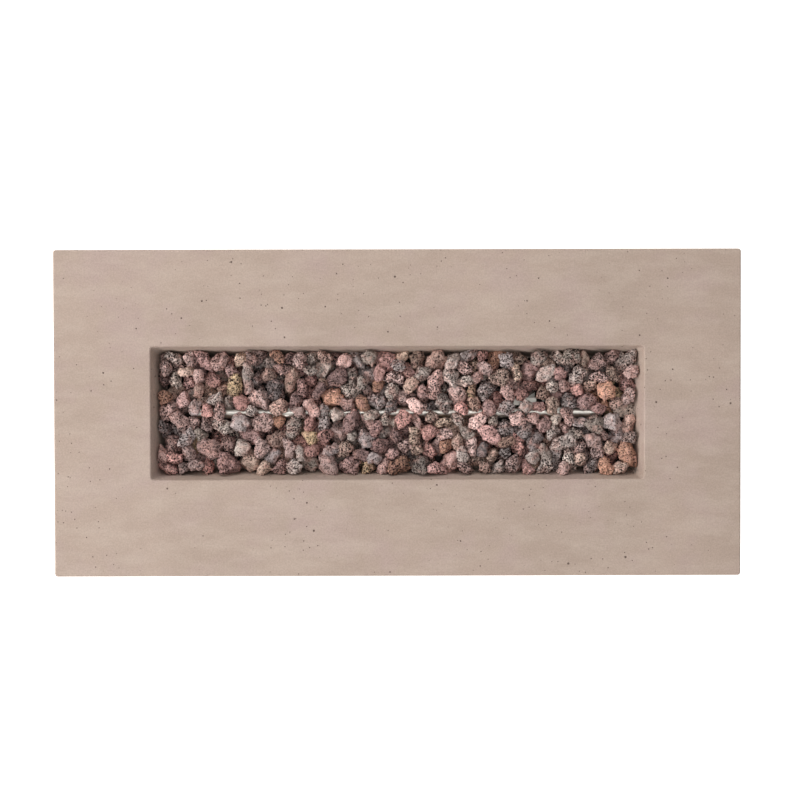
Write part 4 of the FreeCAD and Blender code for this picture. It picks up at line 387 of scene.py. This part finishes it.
def grey_iron():
    """Grey iron cast in sand: a dark, dull metal with the grain of the sand on it."""
    return even_finish("Grey iron, sand cast", "#3A3938", 0.6, 0.7, grain=0.6 * MM, relief=0.1 * MM)


def fibre_felt():
    """Ceramic fibre pressed into felt: an off-white, quite matt strip with a soft fibrous mottle."""
    return even_finish("Ceramic fibre felt", "#D8D4C8", 0.0, 0.95, grain=0.8 * MM, relief=0.2 * MM)


def fired_alumina():
    """Alumina ceramic, fired and left bare: a smooth, creamy white with a faint sheen."""
    return even_finish("Alumina ceramic, fired", "#EDE9E0", 0.0, 0.5)


def spring_wire():
    """Steel wire, cold drawn and coiled: a mid grey metal with a sharp highlight on each turn."""
    return even_finish("Spring steel wire", "#8D8D90", 1.0, 0.35)


def drawn_copper():
    """Copper tube, drawn and dulled by air: a brownish pink metal."""
    return even_finish("Copper, drawn", "#B87858", 1.0, 0.4)


def turned_brass():
    """Brass turned from bar: a warm yellow metal, bright on the edges that the tool cut last."""
    return even_finish("Brass, turned", "#C8A050", 1.0, 0.32)


def drawn_aluminium():
    """Aluminium, drawn and bent cold: a light, slightly cloudy silver."""
    return even_finish("Aluminium, drawn", "#C4C5C7", 1.0, 0.36)


def zinc_plate():
    """Steel with a bright zinc plating: a bluish grey metal with soft patches."""
    return even_finish("Zinc-plated steel", "#A9ACAE", 1.0, 0.42, spread=0.1, grain=1.5 * MM)


def moulded_nylon():
    """Nylon moulded in a fine-textured tool: a soft black with a low sheen."""
    return even_finish("Nylon, moulded", "#1E1E1F", 0.0, 0.55)


def silicone_sleeve():
    """Silicone rubber, extruded over the spark wire: a brick red with a waxy sheen."""
    return even_finish("Silicone rubber, extruded", "#7A2018", 0.0, 0.5)


def powder_coat():
    """Fine-texture powder coat, sprayed and baked on steel: a matt charcoal with a small even grit."""
    return even_finish("Powder coat, fine texture", "#26262A", 0.0, 0.6, spread=0.1, grain=0.4 * MM,
                       relief=0.15 * MM)


def pressed_ferrite():
    """Ferrite powder, pressed and fired into a magnet: a plain dark grey, like unglazed stoneware."""
    return even_finish("Ferrite, pressed and fired", "#2E2E31", 0.0, 0.6)


def lit_paper(look, length, depth):
    """Studio paper lit so brightly that it shows as plain white. It glows a little, except where it
    lies under the table and no light gets: there the glow stops over the outer four centimetres."""
    fade = 0.04
    material, tree, shader, place = new_material("Studio paper, lit")
    shader.inputs["Base Color"].default_value = look.floor
    shader.inputs["Roughness"].default_value = 0.9
    shader.inputs["Emission Color"].default_value = look.floor
    across = add(tree, "ShaderNodeVectorMath", {"operation": "ABSOLUTE"}, i0=place)
    beyond = add(tree, "ShaderNodeVectorMath", {"operation": "SUBTRACT"}, i0=across.outputs[0],
                 i1=(length / 2, depth / 2, 0))
    parts = add(tree, "ShaderNodeSeparateXYZ", Vector=beyond.outputs[0])
    outside = add(tree, "ShaderNodeMath", {"operation": "MAXIMUM"}, i0=parts.outputs["X"],
                  i1=parts.outputs["Y"])
    glow = add(tree, "ShaderNodeMapRange", Value=outside.outputs[0], From_Min=-fade, From_Max=0.0,
               To_Max=look.glow)
    tree.links.new(glow.outputs[0], shader.inputs["Emission Strength"])
    return material


def wear(material, *names):
    """Put one material on CAD nodes."""
    for name in names:
        mesh = NODES[name].data
        mesh.materials.clear()
        mesh.materials.append(material)


# Lava rock


def round_blank(splits):
    """An even ball: each face of a twenty-faced solid is cut into splits times splits small triangles,
    whose corners are then pushed out to the ball."""
    g = GOLDEN_RATIO
    tips = np.array([(-1, g, 0), (1, g, 0), (-1, -g, 0), (1, -g, 0), (0, -1, g), (0, 1, g),
                     (0, -1, -g), (0, 1, -g), (g, 0, -1), (g, 0, 1), (-g, 0, -1), (-g, 0, 1)], float)
    joined = np.abs(np.linalg.norm(tips[:, None] - tips[None], axis=2) - 2) < 1e-6
    i, j, k = np.nonzero(joined[:, :, None] & joined[None] & joined[:, None, :])
    big = np.stack([i, j, k], axis=1)[(i < j) & (j < k)]
    corners = tips[big]
    inward = np.linalg.det(corners) < 0
    corners[inward] = corners[inward][:, ::-1]
    steps = [(a, b) for a in range(splits + 1) for b in range(splits + 1 - a)]
    place = {step: number for number, step in enumerate(steps)}
    upright = [(place[a, b], place[a + 1, b], place[a, b + 1])
               for a, b in steps if a + b < splits]
    turned = [(place[a + 1, b], place[a + 1, b + 1], place[a, b + 1])
              for a, b in steps if a + b < splits - 1]
    small = np.array(upright + turned)
    shares = np.array([(splits - a - b, a, b) for a, b in steps]) / splits
    spots = np.einsum("sc,fcx->fsx", shares, corners).reshape(-1, 3)
    first = np.arange(len(big)) * len(steps)
    faces = (small[None] + first[:, None, None]).reshape(-1, 3)
    keys, same = np.unique(np.round(spots, 7), axis=0, return_inverse=True)
    return keys / np.linalg.norm(keys, axis=1, keepdims=True), same.reshape(-1)[faces]


def welded_mesh(name):
    """A CAD node's points, each once, and its triangles."""
    mesh = NODES[name].data
    spots = np.empty(len(mesh.vertices) * 3)
    mesh.vertices.foreach_get("co", spots)
    corners = np.empty(len(mesh.loops), int)
    mesh.loops.foreach_get("vertex_index", corners)
    keys, same = np.unique(np.round(spots.reshape(-1, 3), 6), axis=0, return_inverse=True)
    return keys, same.reshape(-1)[corners].reshape(-1, 3)


def stones_of(name):
    """The face planes of each stone of a CAD node: its middle, its normals and their distances. Points
    belong to one stone when triangles join them: each takes the lowest number of its triangle's
    corners, over and over, until nothing changes."""
    keys, faces = welded_mesh(name)
    label = np.arange(len(keys))
    changing = True
    while changing:
        fresh = label.copy()
        np.minimum.at(fresh, faces.reshape(-1), np.repeat(label[faces].min(axis=1), 3))
        changing = (fresh != label).any()
        label = fresh
    stones = []
    for mark in np.unique(label):
        own = faces[label[faces[:, 0]] == mark]
        middle = keys[label == mark].mean(axis=0)
        a, b, c = (keys[own[:, i]] for i in range(3))
        normals = np.cross(b - a, c - a)
        lengths = np.linalg.norm(normals, axis=1, keepdims=True)
        sound = lengths[:, 0] > 1e-12
        normals = normals[sound] / lengths[sound]
        distances = ((a[sound] - middle) * normals).sum(axis=1)
        stones.append((middle, normals, np.maximum(distances, 0.5 * MM)))
    return stones


def drawn_out(blank, look, dice):
    """Draws a stone out along one axis: 1 + stretch times chance times (square of the cosine between
    the direction and the axis, less a third)."""
    axis = dice.normal(size=3) * LONG_AXIS_LEAN
    cosines_squared = (blank @ axis) ** 2 / (axis @ axis)
    return 1 + look.stretch * dice.uniform(0.1, 1.0) * (cosines_squared - 1 / 3)


def lumpy(blank, look, dice):
    """Lumps: 1 + height times (a sum of folded sine waves |sin(wave . direction + phase)|, less its
    mean), where finer waves are lower."""
    waves = dice.normal(size=(LUMP_WAVES, 3)) * np.linspace(*LUMP_TURNS, LUMP_WAVES)[:, None]
    phases = dice.uniform(0, 2 * math.pi, LUMP_WAVES)
    folded = np.abs(np.sin(blank @ waves.T + phases))
    lumps = (folded / np.linspace(*LUMP_DIVISORS, LUMP_WAVES)).sum(axis=1)
    return 1 + look.lumps * (lumps - lumps.mean())


def pitted(blank, size, look, dice):
    """Depth of the pits on a stone of this size: each pit fades as a bell curve exp(-(2 d / width)^2)
    with the distance d from its middle, and where pits meet the deepest counts."""
    pits = dice.normal(size=(look.pits, 3))
    pits /= np.linalg.norm(pits, axis=1, keepdims=True)
    widths = look.pit_width * dice.uniform(0.45, 1.0, look.pits)
    depths = look.pit_depth * dice.uniform(0.3, 1.0, look.pits)
    apart = np.arccos(np.clip(blank @ pits.T, -1, 1)) * size
    return (np.exp(-(apart / widths * 2) ** 2) * depths).max(axis=1)


def stone_surface(stone, blank, look, dice):
    """One stone: along each direction u the reach is 1 / (sum of (n.u / d)^p)^(1/p) over its flat faces
    with normals n at distances d, which rounds their edges. It is drawn out, made lumpy and pitted."""
    middle, normals, distances = stone
    facing = np.maximum(blank @ normals.T, 0) / distances
    reach = (facing ** look.rounding).sum(axis=1) ** (-1 / look.rounding) * look.growth
    reach *= drawn_out(blank, look, dice)
    reach *= lumpy(blank, look, dice)
    reach -= pitted(blank, reach.mean(), look, dice)
    return middle + blank * reach[:, None]


def mesh_piece(name, spots, faces, material):
    """A mesh object at the origin, from whole arrays of points and triangles."""
    mesh = bpy.data.meshes.new(name)
    mesh.vertices.add(len(spots))
    mesh.vertices.foreach_set("co", spots.astype(np.float32).ravel())
    mesh.loops.add(faces.size)
    mesh.loops.foreach_set("vertex_index", faces.astype(np.int32).ravel())
    mesh.polygons.add(len(faces))
    mesh.polygons.foreach_set("loop_start", np.arange(0, faces.size, 3, dtype=np.int32))
    mesh.polygons.foreach_set("use_smooth", np.ones(len(faces), bool))
    mesh.update(calc_edges=True)
    mesh.materials.append(material)
    piece = bpy.data.objects.new(name, mesh)
    bpy.context.scene.collection.objects.link(piece)
    return piece


def rock_pile(name, look, material, dice):
    """All the stones of one colour as one mesh, each with its own shade and froth."""
    blank, triangles = round_blank(look.splits)
    stones = stones_of(name)
    spots = np.concatenate([stone_surface(stone, blank, look, dice) for stone in stones])
    spots = np.clip(spots, *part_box(name))
    first = np.arange(len(stones)) * len(blank)
    faces = (triangles[None] + first[:, None, None]).reshape(-1, 3)
    piece = mesh_piece(name.replace("lava_rocks", "scoria"), spots, faces, material)
    palette = np.array([linear(shade) for shade in ROCK_SHADES[name]])
    own = palette[dice.integers(0, len(palette), len(stones))]
    own[:, :3] *= dice.uniform(*STONE_BRIGHTNESS, (len(stones), 1))
    colours = np.repeat(own, len(blank), axis=0)
    layer = piece.data.color_attributes.new("stone_colour", "FLOAT_COLOR", "POINT")
    layer.data.foreach_set("color", colours.astype(np.float32).ravel())
    froth = np.repeat(dice.uniform(*STONE_FROTH, len(stones)), len(blank))
    layer = piece.data.attributes.new("stone_froth", "FLOAT", "POINT")
    layer.data.foreach_set("value", froth.astype(np.float32))
    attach(piece, "table")
    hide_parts(name)


# Stage


def pale_floor(look):
    """A wide square of lit paper under the table."""
    reach = FLOOR_REACH
    corners = np.array([(-reach, -reach, 0), (reach, -reach, 0), (reach, reach, 0), (-reach, reach, 0)])
    length, depth = (SHELL_HIGH - SHELL_LOW)[:2]
    floor = mesh_piece("floor", corners, np.array([(0, 1, 2), (0, 2, 3)]), lit_paper(look, length, depth))


def even_sky(scene, look):
    """The same white light from all round."""
    world = bpy.data.worlds.new("Even studio light")
    world.use_nodes = True
    background = world.node_tree.nodes["Background"]
    background.inputs["Color"].default_value = (1, 1, 1, 1)
    background.inputs["Strength"].default_value = look.sky
    scene.world = world
    scene.view_settings.view_transform = "Standard"


def soft_light(scene, look, name, power, place, aim_x):
    """A wide soft box that faces a spot on the table's long middle line."""
    light = bpy.data.lights.new(name, "AREA")
    light.energy = power
    light.shape = "RECTANGLE"
    light.size = look.light_width
    light.size_y = look.light_height
    light.spread = look.light_fan
    lamp = bpy.data.objects.new(name, light)
    lamp.location = place
    lamp.rotation_euler = aim_angles(np.array((aim_x, 0, TABLE_TOP)) - np.array(place))
    scene.collection.objects.link(lamp)


def aim_angles(direction):
    """Turns about X and Z that point an object's minus Z along a direction."""
    flat = math.hypot(direction[0], direction[1])
    return math.atan2(flat, -direction[2]), 0.0, math.atan2(-direction[0], direction[1])


def photo_camera(scene, look):
    """A long lens that looks straight down on the table."""
    lens = bpy.data.cameras.new("Camera")
    lens.sensor_width = 36.0
    lens.lens = CAMERA_LENS
    camera = bpy.data.objects.new("Camera", lens)
    camera.location = (*CAMERA_PLACE, TABLE_TOP + look.camera_rise)
    camera.rotation_euler = [math.radians(turn) for turn in CAMERA_TURNS]
    scene.collection.objects.link(camera)
    scene.camera = camera


# Operators


class FIRETABLE_OT_concrete(Operator):
    """Give the shell its cast concrete"""
    bl_idname = "fire_table.concrete"
    bl_label = "Concrete shell"

    def execute(self, context):
        wear(cast_concrete(context.scene.fire_table_concrete), "concrete_shell")
        return {"FINISHED"}


class FIRETABLE_OT_rocks(Operator):
    """Lay the lava rock"""
    bl_idname = "fire_table.rocks"
    bl_label = "Lava rock"

    def execute(self, context):
        look = context.scene.fire_table_rock
        dice = np.random.default_rng(7)
        material = lava_rock(look)
        for name in ROCK_SHADES:
            rock_pile(name, look, material, dice)
        return {"FINISHED"}


class FIRETABLE_OT_burner(Operator):
    """Finish the burner, its pan, the flame sensor, and the pieces made of the same sheet and wire"""
    bl_idname = "fire_table.burner"
    bl_label = "Burner and sheet metal"

    def execute(self, context):
        wear(drawn_stainless(), "burner_tube", "burner_end_caps")
        wear(brushed_stainless(), "sensor_bracket", "flame_hood", "control_tray", "inlet_tray",
             "deck_screws")
        # The pan's dark brown is painted shade for the gaps between the stones.
        wear(painted_shade_stainless(), "burner_pan")
        wear(grey_iron(), "burner_cradles")
        wear(fibre_felt(), "pan_gasket")
        wear(fired_alumina(), "electrode_insulator")
        wear(spring_wire(), "spark_electrode", "knob_spring", "button_spring")
        wear(drawn_copper(), "thermocouple_probe", "thermocouple_lead")
        return {"FINISHED"}


class FIRETABLE_OT_fittings(Operator):
    """Finish the gas line, the controls, the feet and the fasteners"""
    bl_idname = "fire_table.fittings"
    bl_label = "Gas line, controls and feet"

    def execute(self, context):
        wear(turned_brass(), "mixer_body", "gas_jet", "tube_nuts", "magnet_unit", "valve_spindle",
             "valve_plunger", "shutoff_body", "shutoff_stem", "bulkhead_fitting")
        wear(drawn_aluminium(), "air_shutter", "feed_tube", "supply_tube", "inlet_tube", "valve_body")
        studs = [name for name in NODES if name.startswith("foot_stud")]
        wear(zinc_plate(), "heat_shield", "shield_standoffs", "inlet_stub", "stub_lock_nut",
             "panel_nuts", "wall_screws", "foot_inserts", "foot_lock_nuts", "shutoff_lever",
             "hinge_pins", *studs)
        pads = [name for name in NODES if name.startswith("foot_pad")]
        wear(moulded_nylon(), "control_knob", "igniter_body", "igniter_button", *pads)
        wear(silicone_sleeve(), "spark_lead")
        return {"FINISHED"}


class FIRETABLE_OT_openings(Operator):
    """Finish the service door, its catch and the vent"""
    bl_idname = "fire_table.openings"
    bl_label = "Door and vent"

    def execute(self, context):
        wear(powder_coat(), "door_frame", "door_leaf", "vent_grille")
        wear(pressed_ferrite(), "door_magnet")
        return {"FINISHED"}


class FIRETABLE_OT_stage(Operator):
    """Set the floor, the light and the camera"""
    bl_idname = "fire_table.stage"
    bl_label = "Stage"

    def execute(self, context):
        scene = context.scene
        look = scene.fire_table_stage
        pale_floor(look)
        even_sky(scene, look)
        soft_light(scene, look, "Window", look.window, (-5.65, -0.35, 4.35), -0.15)
        soft_light(scene, look, "Front fill", look.fill, (-1.5, -5.0, 2.8), 0.0)
        soft_light(scene, look, "Back fill", look.fill, (-1.5, 5.0, 2.8), 0.0)
        soft_light(scene, look, "Overhead", look.overhead, (0.0, 0.0, 12.0), 0.0)
        photo_camera(scene, look)
        return {"FINISHED"}


class FIRETABLE_PT_panel(Panel):
    """Lists the table's pieces"""
    bl_idname = "FIRETABLE_PT_panel"
    bl_label = "Fire pit table"
    bl_space_type = "VIEW_3D"
    bl_region_type = "UI"
    bl_category = "Fire table"

    def draw(self, context):
        for operator in OPERATORS:
            self.layout.operator(operator.bl_idname)


OPERATORS = (FIRETABLE_OT_concrete, FIRETABLE_OT_rocks, FIRETABLE_OT_burner, FIRETABLE_OT_fittings,
             FIRETABLE_OT_openings, FIRETABLE_OT_stage)
LOOKS = {"fire_table_concrete": ConcreteLook, "fire_table_rock": RockLook, "fire_table_stage": StageLook}


def register():
    for look in LOOKS.values():
        bpy.utils.register_class(look)
    for operator in OPERATORS:
        bpy.utils.register_class(operator)
    bpy.utils.register_class(FIRETABLE_PT_panel)
    for name, look in LOOKS.items():
        setattr(bpy.types.Scene, name, PointerProperty(type=look))


def unregister():
    for name in LOOKS:
        delattr(bpy.types.Scene, name)
    bpy.utils.unregister_class(FIRETABLE_PT_panel)
    for operator in reversed(OPERATORS):
        bpy.utils.unregister_class(operator)
    for look in LOOKS.values():
        bpy.utils.unregister_class(look)


def main():
    register()
    bpy.ops.fire_table.concrete()
    bpy.ops.fire_table.rocks()
    bpy.ops.fire_table.burner()
    bpy.ops.fire_table.fittings()
    bpy.ops.fire_table.openings()
    bpy.ops.fire_table.stage()


if __name__ == "__main__":
    main()
